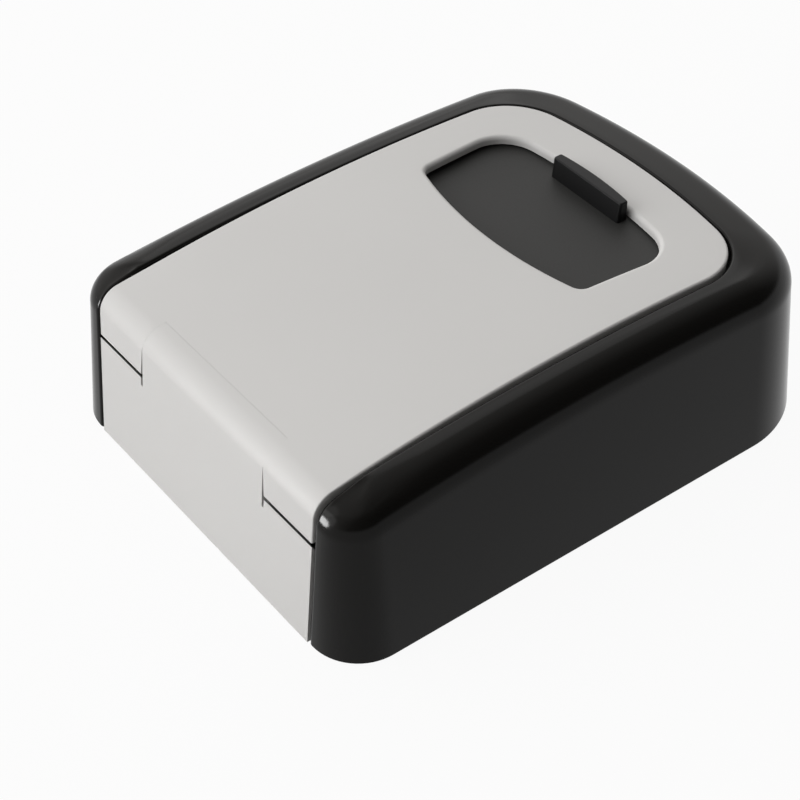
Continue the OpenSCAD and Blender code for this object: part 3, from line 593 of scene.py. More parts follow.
class BentProfile:
    # Side profile of the hinge end: leaning face, barrel, crown; s runs along it from the low edge
    def __init__(self, lowZ):
        self.crownR = doorSkin["crownR"]
        self.centre = (caseShell["crownY"], doorFront - self.crownR)
        toPin = Vector((pinY - self.centre[0], pinZ - self.centre[1]))
        self.a0 = math.pi - frontLean
        self.a1 = math.atan2(toPin.y, toPin.x)
        self.r0 = doorSkin["barrelR"]  # the barrel's radius at the wall
        self.r1 = self.crownR - toPin.length  # and at the crown
        faceTop = pinZ + self.r0 * math.sin(frontLean)
        self.lowZ = lowZ
        self.s1 = (faceTop - lowZ) / math.cos(frontLean)
        self.s2 = self.s1 + (self.a0 - self.a1) * (self.r0 + self.r1) / 2
        self.tilt2 = math.asin((self.centre[0] - (pinY + self.r1 * math.cos(self.a1))) / self.crownR)

    def at(self, s):
        if s <= self.s1:
            z = self.lowZ + s * math.cos(frontLean)
            return Vector((endFaceY(z), z)), Vector((-math.cos(frontLean), math.sin(frontLean)))
        if s <= self.s2:
            t = (s - self.s1) / (self.s2 - self.s1)
            a, r = self.a0 + (self.a1 - self.a0) * t, self.r0 + (self.r1 - self.r0) * t
            n = Vector((math.cos(a), math.sin(a)))
            return Vector((pinY, pinZ)) + n * r, n
        tilt = -self.tilt2 + (s - self.s2) / self.crownR
        n = Vector((math.sin(tilt), math.cos(tilt)))
        return Vector(self.centre) + n * self.crownR, n

    def sAt(self, y):
        return self.s2 + self.crownR * (math.asin((y - self.centre[0]) / self.crownR) + self.tilt2)


profile = BentProfile(doorSkin["footZ"])


def insideLoop(x, y, loop):
    odd = False
    for a, b in zip(loop, loop[1:] + loop[:1]):
        if (a[1] > y) != (b[1] > y) and x < a[0] + (b[0] - a[0]) * (y - a[1]) / (b[1] - a[1]):
            odd = not odd
    return odd


def insetLoop(loop, d):
    # A point's fifth value, where it has one, is its share of the inset
    shares = [p[4] if len(p) > 4 else 1 for p in loop]
    return [(p[0] - d * k * p[2], p[1] - d * k * p[3]) for p, k in zip(loop, shares)]


def filled(outer, holes, gridPoints):
    # Triangles over a flat region, with the grid points that lie clear of its edges
    loops = [outer] + holes
    coords, edges = [], []
    for loop in loops:
        first = len(coords)
        coords += [Vector(p) for p in loop]
        edges += [(first + i, first + (i + 1) % len(loop)) for i in range(len(loop))]

    def clear(p):
        return all(min((Vector(q) - p).length for q in loop) > doorSkin["gridClear"] for loop in loops)

    def within(x, y):
        return insideLoop(x, y, outer) and not any(insideLoop(x, y, h) for h in holes)

    coords += [p for p in map(Vector, gridPoints) if within(*p) and clear(p)]
    points, _, triangles, *_ = delaunay_2d_cdt(coords, edges, [], 0, 1e-6)
    kept = []
    for t in triangles:
        c = sum((points[i] for i in t), Vector((0, 0))) / len(t)
        if within(*c):
            kept.append(tuple(t))
    return [tuple(p) for p in points], kept


def windowLoop():
    d = doorSkin
    top, low = d["windowTop"], d["windowTop"] - d["windowH"]
    topC = Vector((d["windowTopW"] / 2 - d["windowTopR"], 0))
    topC.y = top - d["windowTopArch"] + math.sqrt((d["windowTopArch"] - d["windowTopR"]) ** 2 - topC.x ** 2)
    lowC = Vector((d["windowLowW"] / 2 - d["windowLowR"], 0))
    lowC.y = low + d["windowLowArch"] - math.sqrt((d["windowLowArch"] - d["windowLowR"]) ** 2 - lowC.x ** 2)
    run = topC - lowC
    side = math.atan2(run.y, run.x) - math.acos((d["windowLowR"] - d["windowTopR"]) / run.length)
    topLean = math.atan2(topC.x, topC.y - top + d["windowTopArch"])
    lowLean = math.atan2(lowC.x, low + d["windowLowArch"] - lowC.y)
    down, up = -math.pi / 2, math.pi / 2
    runs = [
        ((0, low + d["windowLowArch"]), d["windowLowArch"], down, down + lowLean, d["lowArchSteps"]),
        (lowC, d["windowLowR"], down + lowLean, side, d["lowCornerSteps"]),
        (topC, d["windowTopR"], side, up - topLean, d["topCornerSteps"]),
        ((0, top - d["windowTopArch"]), d["windowTopArch"], up - topLean, up, d["topArchSteps"]),
    ]
    half = []
    for centre, r, a0, a1, steps in runs:
        for i in range(steps + 1):
            a = a0 + (a1 - a0) * i / steps
            p = (centre[0] + r * math.cos(a), centre[1] + r * math.sin(a), math.cos(a), math.sin(a))
            if not half or (Vector(p[:2]) - Vector(half[-1][:2])).length > d["windowLeast"]:
                half.append(p)
        if r == d["windowLowR"]:  # the straight side follows
            end = (topC.x + d["windowTopR"] * math.cos(side), topC.y + d["windowTopR"] * math.sin(side))
            n = d["windowSideSteps"]
            half += [(p[0] + (end[0] - p[0]) * k / n, p[1] + (end[1] - p[1]) * k / n, p[2], p[3])
                     for k in range(1, n)]
    return half + [(-p[0], p[1], -p[2], p[3]) for p in half[-2:0:-1]]


def makeDoor():
    d = doorSkin
    hw, top = doorHigh.x, doorHigh.y
    ends = archedTop(hw, top, caseShell["doorCorner"], caseShell["doorArch"],
                     d["cornerSteps"], d["archSteps"])
    rows = [profile.s1 * i / d["wallSteps"] for i in range(1, d["wallSteps"])]
    rows += [profile.s1 + (profile.s2 - profile.s1) * i / d["barrelSteps"]
             for i in range(d["barrelSteps"] + 1)]
    sEnd = profile.sAt(ends[0][1])
    count = round((sEnd - profile.s2) / d["crownStep"])
    rows += [profile.s2 + (sEnd - profile.s2) * i / count for i in range(1, count)]
    sTop = profile.sAt(top)
    gridRows = rows + [sEnd + d["crownStep"] * i for i in range(int((sTop - sEnd) / d["crownStep"]) + 1)]
    c = d["cornerR"]
    n = d["footSteps"]
    half = [(x, 0, 0, -1) for x in [hw * i / n for i in range(n)] if x < hw - c]
    half += [(hw - c + c * math.sin(a), c - c * math.cos(a), math.sin(a), -math.cos(a))
             for a in quarterTurn(d["footCornerSteps"])]
    half += [(hw, s, 1, 0) for s in rows if s > c + d["rowClear"]]
    half += [(x, profile.sAt(y), nx, ny) for x, y, nx, ny in ends]
    sharp = d["footEdgeR"] / d["edgeR"]
    half = [(*p, sharp + (1 - sharp) * min(max(p[1] - profile.s2, 0) / d["blend"], 1)) for p in half]
    outer = half + [(-p[0], p[1], -p[2], *p[3:]) for p in half[-2:0:-1]]
    window = [(p[0] + d["windowX"], profile.sAt(p[1]), -p[2], -p[3]) for p in windowLoop()]
    columns = int(hw / d["gridX"])
    grid = [(hw * i / columns, s) for i in range(-columns, columns + 1) for s in gridRows]

    def deep(s):
        p, n = profile.at(s)
        full = (p.y - d["skirtZ"]) / n.y if n.y > d["steep"] else d["barrelDepth"]
        t = min(max((s - profile.s2) / d["blend"], 0), 1)
        return d["barrelDepth"] + (full - d["barrelDepth"]) * t

    def placed(x, s, depth):
        p, n = profile.at(max(s, 0))
        q = p - n * depth
        return (x, q.x, q.y)

    points, faces = [], []

    def addAll(new):
        points.extend(new)
        return len(points) - len(new)

    def strips(loop, r, steps):
        rings = []
        for a in quarterTurn(steps):
            shrink, depth = r * (1 - math.sin(a)), r * (1 - math.cos(a))
            inset = insetLoop(loop, shrink)
            rings.append([placed(*q, depth * (p[4] if len(p) > 4 else 1)) for q, p in zip(inset, loop)])
        rings.append([placed(p[0], p[1], deep(p[1])) for p in loop])
        starts = [addAll(ring) for ring in rings]
        n = len(loop)
        for a, b in zip(starts, starts[1:]):
            faces.extend((a + i, a + (i + 1) % n, b + (i + 1) % n, b + i) for i in range(n))

    strips(outer, d["edgeR"], d["edgeSteps"])
    strips(window, d["windowEdgeR"], d["windowEdgeSteps"])
    for inset, windowInset, depthAt in ((d["edgeR"], d["windowEdgeR"], lambda s: 0), (0, 0, deep)):
        flat, triangles = filled(insetLoop(outer, inset), [insetLoop(window, windowInset)], grid)
        first = addAll([placed(x, s, depthAt(s)) for x, s in flat])
        faces.extend(tuple(first + i for i in t) for t in triangles)
    door = solidFrom("doorSkin", points, faces)

    ends = archedTop(hw - d["skin"], top - d["skin"], caseShell["doorCorner"] - d["skin"],
                     caseShell["doorArch"] - d["skin"], d["cornerSteps"], d["archSteps"])
    side = [(hw - d["skin"], d["hollowY"])] + [(p[0], p[1]) for p in ends]
    hollow = side + [(-x, y) for x, y in side[-2::-1]]
    end, step, under = d["hollowEnd"], d["hollowStep"], d["skirtZ"] - overcut
    roof = [(y, crownZ(doorFront, y, d["crownR"]) - d["skin"]) for y in range(-end, end + 1, step)]
    room = prismX(roof + [(end, under), (-end, under)], -hw, hw)
    carve(room, prismZ(hollow, under - overcut, doorFront), "INTERSECT")
    carve(door, room)
    halfRoom, y0, y1, roomTop = d["shutterRoom"]
    carve(door, brick(-halfRoom, halfRoom, y0, y1, under, roomTop))
    reach, far = d["barrelR"] + d["knuckleGap"], d["notchReach"]
    turn0, turn1 = d["notchTurn"]
    n = d["notchSteps"]
    notch = [roundPin(reach, math.radians(turn0 + (turn1 - turn0) * i / n)) for i in range(n + 1)]
    notch += [(pinY - far, notch[-1][1]), (pinY - far, pinZ - far), (notch[0][0], pinZ - far)]
    carve(door, prismX(notch, -d["knuckleHw"], d["knuckleHw"]))
    ring = disc(pinY, pinZ, d["barrelR"] - d["footLap"], d["ringSteps"])
    for sideX in (1, -1):
        x0, x1 = sorted((sideX * (d["jogHw"] + d["footLap"]), sideX * (hw - d["cornerR"])))
        carve(door, prismX(ring, x0, x1), "UNION")
    # The gap beside the knuckle opens towards the wall
    widths = list(zip(d["jogZ"], (d["jogHw"], d["knuckleHw"])))
    jog = [(x * sideX, pinY + y, pinZ + z) for sideX in (1, -1) for y in (-far, 0) for z, x in widths]
    sides = [(0, 1, 3, 2), (4, 5, 7, 6), (0, 1, 5, 4), (2, 3, 7, 6), (0, 2, 6, 4), (1, 3, 7, 5)]
    carve(door, solidFrom("cutter", jog, sides))
    return shaded(door)


door = makeDoor()
dressed(door, finish["doorEnamel"], "door_grey", "door", "door_skin")
print("door made:", len(door.data.polygons), "faces")

# Hinge block: leaning end wall, floor and the middle knuckle that the door turns on

hingeBlock = {
    "halfW": 33.6, "wallTop": 22.044, "wall": 3.4, "floorGap": 0.1, "edgeR": 0.1, "slitDrop": 2.2,
    "knuckleHw": 19, "barrelR": 4.69, "knuckleEnd": -80, "knuckleSteps": 72, "lap": 1, "webDrop": 6,
    "flushTurn": 1, "seam": 0.02, "reliefW": 0.6, "reliefH": 1.8,
    "tongueHw": 22, "tongueY": (-48.457, -36.457), "tongueTop": 5, "tongueSink": 0.02,
    "tongueHoleR": 1.55, "headHoleR": 2.9, "headSeatZ": 3.7,
}


def makeHinge():
    h = hingeBlock
    back = caseShell["backWall"]
    wallIn = caseLow.y + h["wall"]
    floorEnd = caseShell["slotY"] - h["floorGap"]
    front = endFaceY(h["wallTop"])
    wall = [(caseLow.y, 0), (floorEnd, 0), (floorEnd, back), (wallIn, back),
            (wallIn, h["wallTop"] - h["slitDrop"]), (front + h["edgeR"], h["wallTop"]), (front, h["wallTop"])]
    block = prismX(wall, -h["halfW"], h["halfW"], "hingeBlock")
    frontTurn, endTurn = math.pi - frontLean, math.radians(h["knuckleEnd"])
    knuckle = [(endFaceY(z), z) for z in (back - h["lap"], pinZ - h["lap"])]
    reach = doorSkin["barrelR"] + doorSkin["knuckleGap"] - h["seam"]
    for i in range(h["knuckleSteps"] + 1):
        a = frontTurn + (endTurn - frontTurn) * i / h["knuckleSteps"]
        # Past the crown's tangent it runs on flush with the door, as far as the seam
        past = min(max(profile.a1 - a, 0), h["flushTurn"])
        knuckle.append(roundPin(min(h["barrelR"] / math.cos(past), reach), a))
    knuckle += [(wallIn, pinZ - h["barrelR"] - h["webDrop"]), (wallIn, back - h["lap"])]
    carve(block, prismX(knuckle, -h["knuckleHw"], h["knuckleHw"]), "UNION")
    for side in (1, -1):
        x0, x1 = sorted((side * h["knuckleHw"], side * (h["knuckleHw"] + h["reliefW"])))
        carve(block, brick(x0, x1, caseLow.y - overcut, wallIn + overcut,
                           h["wallTop"] - h["reliefH"], h["wallTop"] + overcut))
    tongue = brick(-h["tongueHw"], h["tongueHw"], *h["tongueY"], back - h["tongueSink"], h["tongueTop"])
    carve(block, tongue, "UNION")
    tongueOver = h["tongueTop"] + overcut
    for x in (-caseShell["tongueScrews"] / 2, caseShell["tongueScrews"] / 2):
        carve(block, prismZ(disc(x, caseShell["tongueY"], h["tongueHoleR"]), back - overcut, tongueOver))
        carve(block, prismZ(disc(x, caseShell["tongueY"], h["headHoleR"]), h["headSeatZ"], tongueOver))
    return shaded(softened(block, h["edgeR"]))


hinge = makeHinge()
dressed(hinge, finish["doorEnamel"], "door_grey", "case", "hinge_block")
print("hinge made:", len(hinge.data.polygons), "faces")

# Shutter: flat slide with softened edges and a rounded finger tab

shutterSet = {
    "plate": 1.5, "raise": 0.8, "edgeR": 0.3, "tabHw": 9.6, "tabFoot": 29.9, "tabFront": 30.4, "tabBack": 33,
    "tabArch": 70, "tabSink": 0.4, "tabCornerR": 0.5, "tabTopR": 0.3,
    "cornerSteps": 8, "archSteps": 10, "topSteps": 4,
}


def makeShutter():
    s = shutterSet
    low, high = nodeBox("shutter")
    plateTop = low.z + s["plate"] + s["raise"]
    plate = brick(low.x, high.x, low.y, high.y, low.z, plateTop, "shutterPlate")
    shaded(softened(plate, s["edgeR"]))
    r, hw = s["tabCornerR"], s["tabHw"]
    back = archedTop(hw, s["tabBack"], r, s["tabArch"], s["cornerSteps"], s["archSteps"])

    def tabPlan(front):
        turns = [math.pi / 2 * (i / s["cornerSteps"] - 1) for i in range(s["cornerSteps"] + 1)]
        half = [(hw - r + r * math.cos(a), front + r + r * math.sin(a), math.cos(a), math.sin(a))
                for a in turns] + back
        return half + [(-p[0], p[1], -p[2], p[3]) for p in half[-2::-1]]

    top = s["tabTopR"]
    rows = [(0, s["tabFoot"], plateTop - s["tabSink"])]
    for a in quarterTurn(s["topSteps"]):
        rows.append((top * (1 - math.cos(a)), s["tabFront"], high.z - top * (1 - math.sin(a))))
    points = [(x, y, z) for d, front, z in rows for x, y in insetLoop(tabPlan(front), d)]
    faces = ringFaces(len(points) // len(rows), len(rows))
    return plate, shaded(solidFrom("shutterTab", points, faces))


plate, tab = makeShutter()
dressed(plate, finish["shutterPlastic"], "charcoal", "shutter", "shutter")
dressed(tab, finish["tabPlastic"], "charcoal", "shutter")
print("shutter made")

# Lock and liner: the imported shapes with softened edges

dialNames = ["dial_%d" % k for k in range(1, 5)]
softSet = {"weld": 0.003, "flatAngle": 1}
softPieces = {
    "door_liner": ("doorLiner", "liningPlastic", "moulded_black", 0.2),
    "lock_cover": ("lockCover", "liningPlastic", "moulded_black", 0.35),
    "bearing_block_left": ("blockLeft", "castZinc", "die_cast", 0.35),
    "bearing_block_right": ("blockRight", "castZinc", "die_cast", 0.35),
    "release_button": ("releaseButton", "liningPlastic", "moulded_black", 0.2),
    "latch_plate": ("latchPlate", "platedSteel", "steel", 0.15),
    "reset_slider": ("resetSlider", "liningPlastic", "moulded_black", 0.15),
}
for k, dial in enumerate(dialNames, 1):
    softPieces[dial] = ("dialRing%d" % k, "ivoryPlastic", "ivory", 0.12)
plainNodes = {
    "hinge_pin": "platedSteel", "dial_shaft": "platedSteel", "shaft_clips": "platedSteel",
    "gate_sleeve_1": "castZinc", "gate_sleeve_2": "castZinc",
    "gate_sleeve_3": "castZinc", "gate_sleeve_4": "castZinc",
}


def softCopy(node, name, width):
    bm = bmesh.new()
    bm.from_mesh(frame["nodes"][node].data)
    bmesh.ops.remove_doubles(bm, verts=bm.verts, dist=softSet["weld"] * mm)
    flat = math.radians(softSet["flatAngle"])
    bmesh.ops.dissolve_limit(bm, angle_limit=flat, verts=bm.verts, edges=bm.edges)
    mesh = bpy.data.meshes.new(name)
    bm.to_mesh(mesh)
    bm.free()
    piece = newPiece(name, mesh)
    return shaded(softened(piece, width))


for node, (name, look, slot, width) in softPieces.items():
    piece = softCopy(node, name, width)
    dressed(piece, finish[look], slot, frame["nodes"][node]["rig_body"], node)
for node, look in plainNodes.items():
    mesh = frame["nodes"][node].data
    for i in range(max(len(mesh.materials), 1)):
        if i < len(mesh.materials):
            mesh.materials[i] = finish[look]
        else:
            mesh.materials.append(finish[look])
print("lock pieces made:", len(softPieces) + len(plainNodes))

# Detent spring: a comb whose leaves are pressed down as far as a dial's corners reach

springSet = {
    "leaf": 0.22, "leafHw": 1.5, "tip": -2, "bend": 2.2, "root": 7.9, "lap": 0.05,
    "dialR": 7.5, "room": 0.04,
}


def makeSpring():
    s = springSet
    low, high = nodeBox("detent_spring")
    shaftLow, shaftHigh = nodeBox("dial_shaft")
    shaftY, shaftZ = (shaftLow.y + shaftHigh.y) / 2, (shaftLow.z + shaftHigh.z) / 2
    spring = brick(low.x, high.x, shaftY + s["root"], high.y, low.z, high.z, "detentSpring")
    pressed = shaftZ - s["dialR"] - s["room"]
    leaf = [(s["root"] + s["lap"], high.z), (s["bend"], pressed), (s["tip"], pressed)]
    leaf = [(shaftY + d, z) for d, z in leaf] + [(shaftY + d, z - s["leaf"]) for d, z in leaf[::-1]]
    for dial in dialNames:
        dialLow, dialHigh = nodeBox(dial)
        x = (dialLow.x + dialHigh.x) / 2
        carve(spring, prismX(leaf, x - s["leafHw"], x + s["leafHw"]), "UNION")
    return shaded(spring)


spring = makeSpring()
dressed(spring, finish["platedSteel"], "steel", frame["nodes"]["detent_spring"]["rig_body"], "detent_spring")
print("spring made")

# Digits: plain numbers on the ten flats of each dial

digitSet = {
    "size": 3.9, "depth": 0.05, "flat": 7.133, "sink": 0.02, "flats": 10,
    "curveSteps": 4, "weld": 0.002,
}


def makeDigits():
    d = digitSet
    shapes = []
    for number in range(d["flats"]):
        curve = bpy.data.curves.new("digit", "FONT")
        curve.body = str(number)
        curve.size = d["size"] * mm
        curve.extrude = d["depth"] / 2 * mm
        curve.align_x, curve.align_y = "CENTER", "CENTER"
        curve.resolution_u = d["curveSteps"]
        text = newPiece("digit", curve)
        shapes.append(evaluated(text))
        bpy.data.objects.remove(text)
    lift = Matrix.Translation((0, 0, (d["flat"] + d["depth"] / 2 - d["sink"]) * mm))
    for k, dial in enumerate(dialNames, 1):
        low, high = nodeBox(dial)
        centre = (low + high) / 2 * mm
        bm = bmesh.new()
        for number, shape in enumerate(shapes):
            turn = Matrix.Rotation(math.radians(-360 / d["flats"] * number), 4, "X")
            copy = shape.copy()
            copy.transform(Matrix.Translation(centre) @ turn @ lift)
            bm.from_mesh(copy)
            bpy.data.meshes.remove(copy)
        bmesh.ops.remove_doubles(bm, verts=bm.verts, dist=d["weld"] * mm)
        mesh = bpy.data.meshes.new("digits%d" % k)
        bm.to_mesh(mesh)
        bm.free()
        digits = newPiece("digits%d" % k, mesh)
        dressed(digits, finish["digitInk"], "moulded_black", dial)
    for shape in shapes:
        bpy.data.meshes.remove(shape)


makeDigits()
print("digits made")

# Screws: one modelled screw for each kind, set on its places by a node tree

screwSets = {
    "liner_screws": {"places": ((24.8, 37.7), (-24.8, 37.7), (26, -33.864), (-26, -33.864)),
                     "r": 1.1, "headR": 1.9, "headH": 0.9, "up": 1, "body": "door", "seed": 3},
    "cover_screws": {"places": ((12, 6.3), (-12, 6.3), (6, 39.1), (-6, 39.1)),
                     "r": 1.1, "headR": 1.9, "headH": 1.2, "up": 1, "body": "door", "seed": 5},
    "block_screws": {"places": ((26.3, 31.3), (-26.3, 31.3)),
                     "r": 1.1, "headR": 1.9, "headH": 1.2, "up": 1, "body": "door", "seed": 8},
    "latch_screw": {"places": ((0, 11.8),),
                    "r": 1.1, "headR": 1.9, "headH": 1.2, "up": 1, "body": "latch", "seed": 2},
    "hinge_screws": {"places": ((16, -40.457), (-16, -40.457)),
                     "r": 1.5, "headR": 2.8, "headH": 1.2, "up": -1, "body": "case", "seed": 6},
}
# Shares: dome and cut of the head's height, arm and slot of its radius, root and point of the shank's
screwForm = {
    "domeShare": 0.45, "domeSteps": 6, "rim": 0.12, "plain": 1, "pitch": 0.5, "threadFrom": 0.35,
    "rootShare": 0.82, "point": 0.5, "pointShare": 0.5,
    "poleR": 0.001, "sides": 32, "weld": 0.01, "sharpAngle": 40,
    "armShare": 0.6, "slotShare": 0.14, "cutFrom": 1.1, "cutTo": 0.4,
}


def makeScrewTree():
    tree = bpy.data.node_groups.new("screwsOnPlaces", "GeometryNodeTree")
    tree.interface.new_socket("Geometry", in_out="INPUT", socket_type="NodeSocketGeometry")
    tree.interface.new_socket("Screw", in_out="INPUT", socket_type="NodeSocketObject")
    tree.interface.new_socket("Turn Seed", in_out="INPUT", socket_type="NodeSocketInt")
    tree.interface.new_socket("Finish", in_out="INPUT", socket_type="NodeSocketMaterial")
    tree.interface.new_socket("Geometry", in_out="OUTPUT", socket_type="NodeSocketGeometry")
    enter = addNode(tree, "NodeGroupInput", (-600, 0))
    leave = addNode(tree, "NodeGroupOutput", (700, 0))
    shape = addNode(tree, "GeometryNodeObjectInfo", (-350, -150))
    turn = addNode(tree, "FunctionNodeRandomValue", (-350, -400), data_type="FLOAT_VECTOR")
    turn.inputs["Min"].default_value = (0, 0, 0)
    turn.inputs["Max"].default_value = (0, 0, math.pi / 2)
    stand = addNode(tree, "GeometryNodeInstanceOnPoints", (0, 0))
    solid = addNode(tree, "GeometryNodeRealizeInstances", (250, 0))
    paint = addNode(tree, "GeometryNodeSetMaterial", (480, 0))
    tree.links.new(enter.outputs["Geometry"], stand.inputs["Points"])
    tree.links.new(enter.outputs["Screw"], shape.inputs["Object"])
    tree.links.new(shape.outputs["Geometry"], stand.inputs["Instance"])
    tree.links.new(enter.outputs["Turn Seed"], turn.inputs["Seed"])
    tree.links.new(turn.outputs["Value"], stand.inputs["Rotation"])
    tree.links.new(stand.outputs["Instances"], solid.inputs["Geometry"])
    tree.links.new(solid.outputs["Geometry"], paint.inputs["Geometry"])
    tree.links.new(enter.outputs["Finish"], paint.inputs["Material"])
    tree.links.new(paint.outputs["Geometry"], leave.inputs["Geometry"])
    return tree


def screwShape(r, headR, headH, length, up):
    # Domed head with a cross recess over a threaded shank; the head's underside is at z = 0
    f = screwForm
    dome, root = headH * f["domeShare"], r * f["rootShare"]
    rows = [(f["poleR"], -headH)]
    turns = quarterTurn(f["domeSteps"])[1:]
    rows += [(headR * math.sin(a), -headH + dome * (1 - math.cos(a))) for a in turns]
    rows += [(headR, -f["rim"]), (headR - f["rim"], 0), (r, 0)]
    for i in range(max(int((length - f["plain"]) / f["pitch"]), 1)):
        z = f["threadFrom"] + f["pitch"] * i
        rows += [(r, z), (root, z + f["pitch"] / 2)]
    rows += [(root, length - f["point"]), (r * f["pointShare"], length), (f["poleR"], length)]
    n = f["sides"]
    points = [(x, y, z * up) for q, z in rows for x, y in disc(0, 0, q, n)]
    screw = solidFrom("screwShape", points, ringFaces(n, len(rows), capped=False), f["weld"])
    arm, half = headR * f["armShare"], headR * f["slotShare"]
    deep = sorted((-headH * f["cutFrom"] * up, -headH * f["cutTo"] * up))
    carve(screw, brick(-arm, arm, -half, half, *deep))
    carve(screw, brick(-half, half, -arm, arm, *deep))
    return shaded(screw, f["sharpAngle"])


screwTree = makeScrewTree()
sockets = {i.name: i.identifier for i in screwTree.interface.items_tree if i.in_out == "INPUT"}
for node, s in screwSets.items():
    low, high = nodeBox(node)
    length = high.z - low.z - s["headH"]
    seat = low.z + s["headH"] if s["up"] > 0 else high.z - s["headH"]
    shape = screwShape(s["r"], s["headR"], s["headH"], length, s["up"])
    mesh = bpy.data.meshes.new(node)
    mesh.from_pydata([Vector((x, y, seat)) * mm for x, y in s["places"]], [], [])
    piece = newPiece(node.replace("_s", "S") + "Set", mesh)
    spread = piece.modifiers.new("screws", "NODES")
    spread.node_group = screwTree
    spread[sockets["Screw"]] = shape
    spread[sockets["Turn Seed"]] = s["seed"]
    spread[sockets["Finish"]] = finish["platedSteel"]
    bake(piece)
    bpy.data.objects.remove(shape)
    dressed(piece, finish["platedSteel"], "steel", s["body"], node)
print("screws made:", len(screwSets), "sets")

# Stage: pale floor, soft light and the camera

stageSet = {
    "floorSize": 20.0, "floorColour": (0.55, 0.55, 0.55), "floorRoughness": 0.9, "floorSpecular": 0.1,
    "seenShare": 0.94, "horizon": (0.1, 0.22),
    "lightFrom": (-0.98, -0.16, 0.1), "skyTint": (1.0, 0.985, 0.965),
    "sky": ((0.12, 0.08), (0.3, 0.14), (0.55, 0.74), (0.74, 1.0), (0.9, 1.35)), "lampAim": (0, 0, 0.02),
}
lampSet = {
    "key": {"place": (-0.3, -0.36, 0.41), "size": (0.5, 0.5), "power": 0.66},
    "front": {"place": (-0.4, -1.05, 0.45), "size": (0.9, 0.9), "power": 3.9},
    "gleam": {"place": (-0.044, -0.237, 0.045), "size": (0.087, 0.08), "power": 0.78, "glossOnly": True},
    "back": {"place": (-0.5, 0.37, 0.56), "size": (0.63, 0.63), "power": 0.9},
}
cameraSet = {
    "place": (0.23022, -0.18481, 0.26627), "azimuth": 53.381, "elevation": 42.133, "roll": -0.594,
    "lens": 92.466, "sensor": 36, "clip": (0.01, 20),
}


def seenRays(tree):
    # 1 for rays that show the white background: to the camera, in gloss and through glass
    rays = addNode(tree, "ShaderNodeLightPath", (-900, 400))
    seen = rays.outputs["Is Camera Ray"]
    for kind in ("Is Glossy Ray", "Is Transmission Ray"):
        either = addNode(tree, "ShaderNodeMath", (-600, 400), operation="MAXIMUM")
        tree.links.new(seen, either.inputs[0])
        tree.links.new(rays.outputs[kind], either.inputs[1])
        seen = either.outputs["Value"]
    return seen


def makeFloor():
    size = stageSet["floorSize"] / 2
    mesh = bpy.data.meshes.new("floor")
    corners = [(-size, -size, 0), (size, -size, 0), (size, size, 0), (-size, size, 0)]
    mesh.from_pydata(corners, [], [(0, 1, 2, 3)])
    floor = newPiece("floor", mesh)
    material = bpy.data.materials.new("paleFloor")
    material.use_nodes = True
    tree = material.node_tree
    shader = tree.nodes["Principled BSDF"]
    setInputs(shader, {"Base Color": (*stageSet["floorColour"], 1), "Roughness": stageSet["floorRoughness"],
                       "Specular IOR Level": stageSet["floorSpecular"]})
    glow = addNode(tree, "ShaderNodeEmission", (0, -250))
    share = addNode(tree, "ShaderNodeMath", (0, 300), operation="MULTIPLY")
    share.inputs[1].default_value = stageSet["seenShare"]
    mix = addNode(tree, "ShaderNodeMixShader", (250, 0))
    tree.links.new(seenRays(tree), share.inputs[0])
    tree.links.new(share.outputs["Value"], mix.inputs["Fac"])
    tree.links.new(shader.outputs["BSDF"], mix.inputs[1])
    tree.links.new(glow.outputs["Emission"], mix.inputs[2])
    tree.links.new(mix.outputs["Shader"], tree.nodes["Material Output"].inputs["Surface"])
    mesh.materials.append(material)


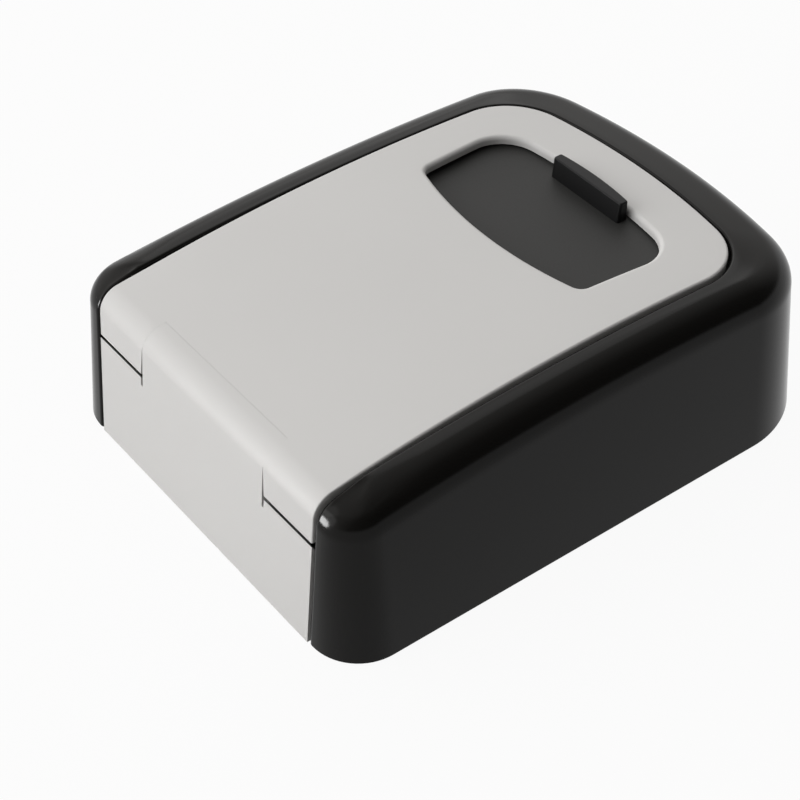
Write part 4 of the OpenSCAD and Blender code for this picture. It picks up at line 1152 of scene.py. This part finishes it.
def makeWorld():
    world = bpy.data.worlds.new("studio")
    bpy.context.scene.world = world
    world.use_nodes = True
    tree = world.node_tree
    back = tree.nodes["Background"]
    around = addNode(tree, "ShaderNodeTexCoord", (-1100, 0))
    side = addNode(tree, "ShaderNodeVectorMath", (-900, 0), operation="DOT_PRODUCT")
    side.inputs[1].default_value = stageSet["lightFrom"]
    spread = addNode(tree, "ShaderNodeMapRange", (-750, 0))
    setInputs(spread, {"From Min": -1.0})
    ramp = addNode(tree, "ShaderNodeValToRGB", (-550, 0))
    stops = ramp.color_ramp.elements
    while len(stops) < len(stageSet["sky"]):
        stops.new(0.5)
    for stop, (place, level) in zip(stops, stageSet["sky"]):
        stop.position = place
        stop.color = (*(level * c for c in stageSet["skyTint"]), 1)
    parts = addNode(tree, "ShaderNodeSeparateXYZ", (-900, -250))
    band = addNode(tree, "ShaderNodeMapRange", (-700, -250))
    fadeFrom, fadeTo = stageSet["horizon"]
    setInputs(band, {"From Min": fadeFrom, "From Max": fadeTo, "To Min": 1, "To Max": 0})
    low = addNode(tree, "ShaderNodeMath", (-450, 250), operation="MULTIPLY")
    mix = addNode(tree, "ShaderNodeMix", (-250, 100), data_type="RGBA")
    setInputs(mix, {"B": (1, 1, 1, 1)})
    tree.links.new(around.outputs["Generated"], parts.inputs["Vector"])
    tree.links.new(parts.outputs["Z"], band.inputs["Value"])
    tree.links.new(band.outputs["Result"], low.inputs[0])
    tree.links.new(seenRays(tree), low.inputs[1])
    tree.links.new(around.outputs["Generated"], side.inputs[0])
    tree.links.new(side.outputs["Value"], spread.inputs["Value"])
    tree.links.new(spread.outputs["Result"], ramp.inputs["Fac"])
    tree.links.new(ramp.outputs["Color"], mix.inputs["A"])
    tree.links.new(low.outputs["Value"], mix.inputs["Factor"])
    tree.links.new(mix.outputs["Result"], back.inputs["Color"])
    setInputs(back, {"Strength": 1.0})


def addLamp(name, place, size, power, glossOnly=False):
    data = bpy.data.lights.new(name, "AREA")
    data.shape = "ELLIPSE"
    data.size, data.size_y = size
    data.energy = power
    lamp = bpy.data.objects.new(name, data)
    bpy.context.scene.collection.objects.link(lamp)
    lamp.visible_camera = False
    lamp.visible_diffuse = not glossOnly
    lamp.location = place
    aim = Vector(stageSet["lampAim"]) - Vector(place)
    lamp.rotation_euler = aim.to_track_quat("-Z", "Y").to_euler()


def makeCamera():
    a, e, roll = (math.radians(cameraSet[k]) for k in ("azimuth", "elevation", "roll"))
    back = Vector((math.sin(a) * math.cos(e), -math.cos(a) * math.cos(e), math.sin(e)))
    right = Vector((math.cos(a), math.sin(a), 0))
    up = back.cross(right)
    across = right * math.cos(roll) + up * math.sin(roll)
    over = up * math.cos(roll) - right * math.sin(roll)
    data = bpy.data.cameras.new("photoView")
    data.lens = cameraSet["lens"]
    data.sensor_width = cameraSet["sensor"]
    data.clip_start, data.clip_end = cameraSet["clip"]
    camera = bpy.data.objects.new("photoView", data)
    bpy.context.scene.collection.objects.link(camera)
    turn = Matrix((across, over, back)).transposed().to_4x4()
    camera.matrix_world = Matrix.Translation(cameraSet["place"]) @ turn
    bpy.context.scene.camera = camera


makeFloor()
makeWorld()
for name, lamp in lampSet.items():
    addLamp(name, **lamp)
makeCamera()
bpy.context.scene.view_settings.view_transform = "Standard"
print("stage set")
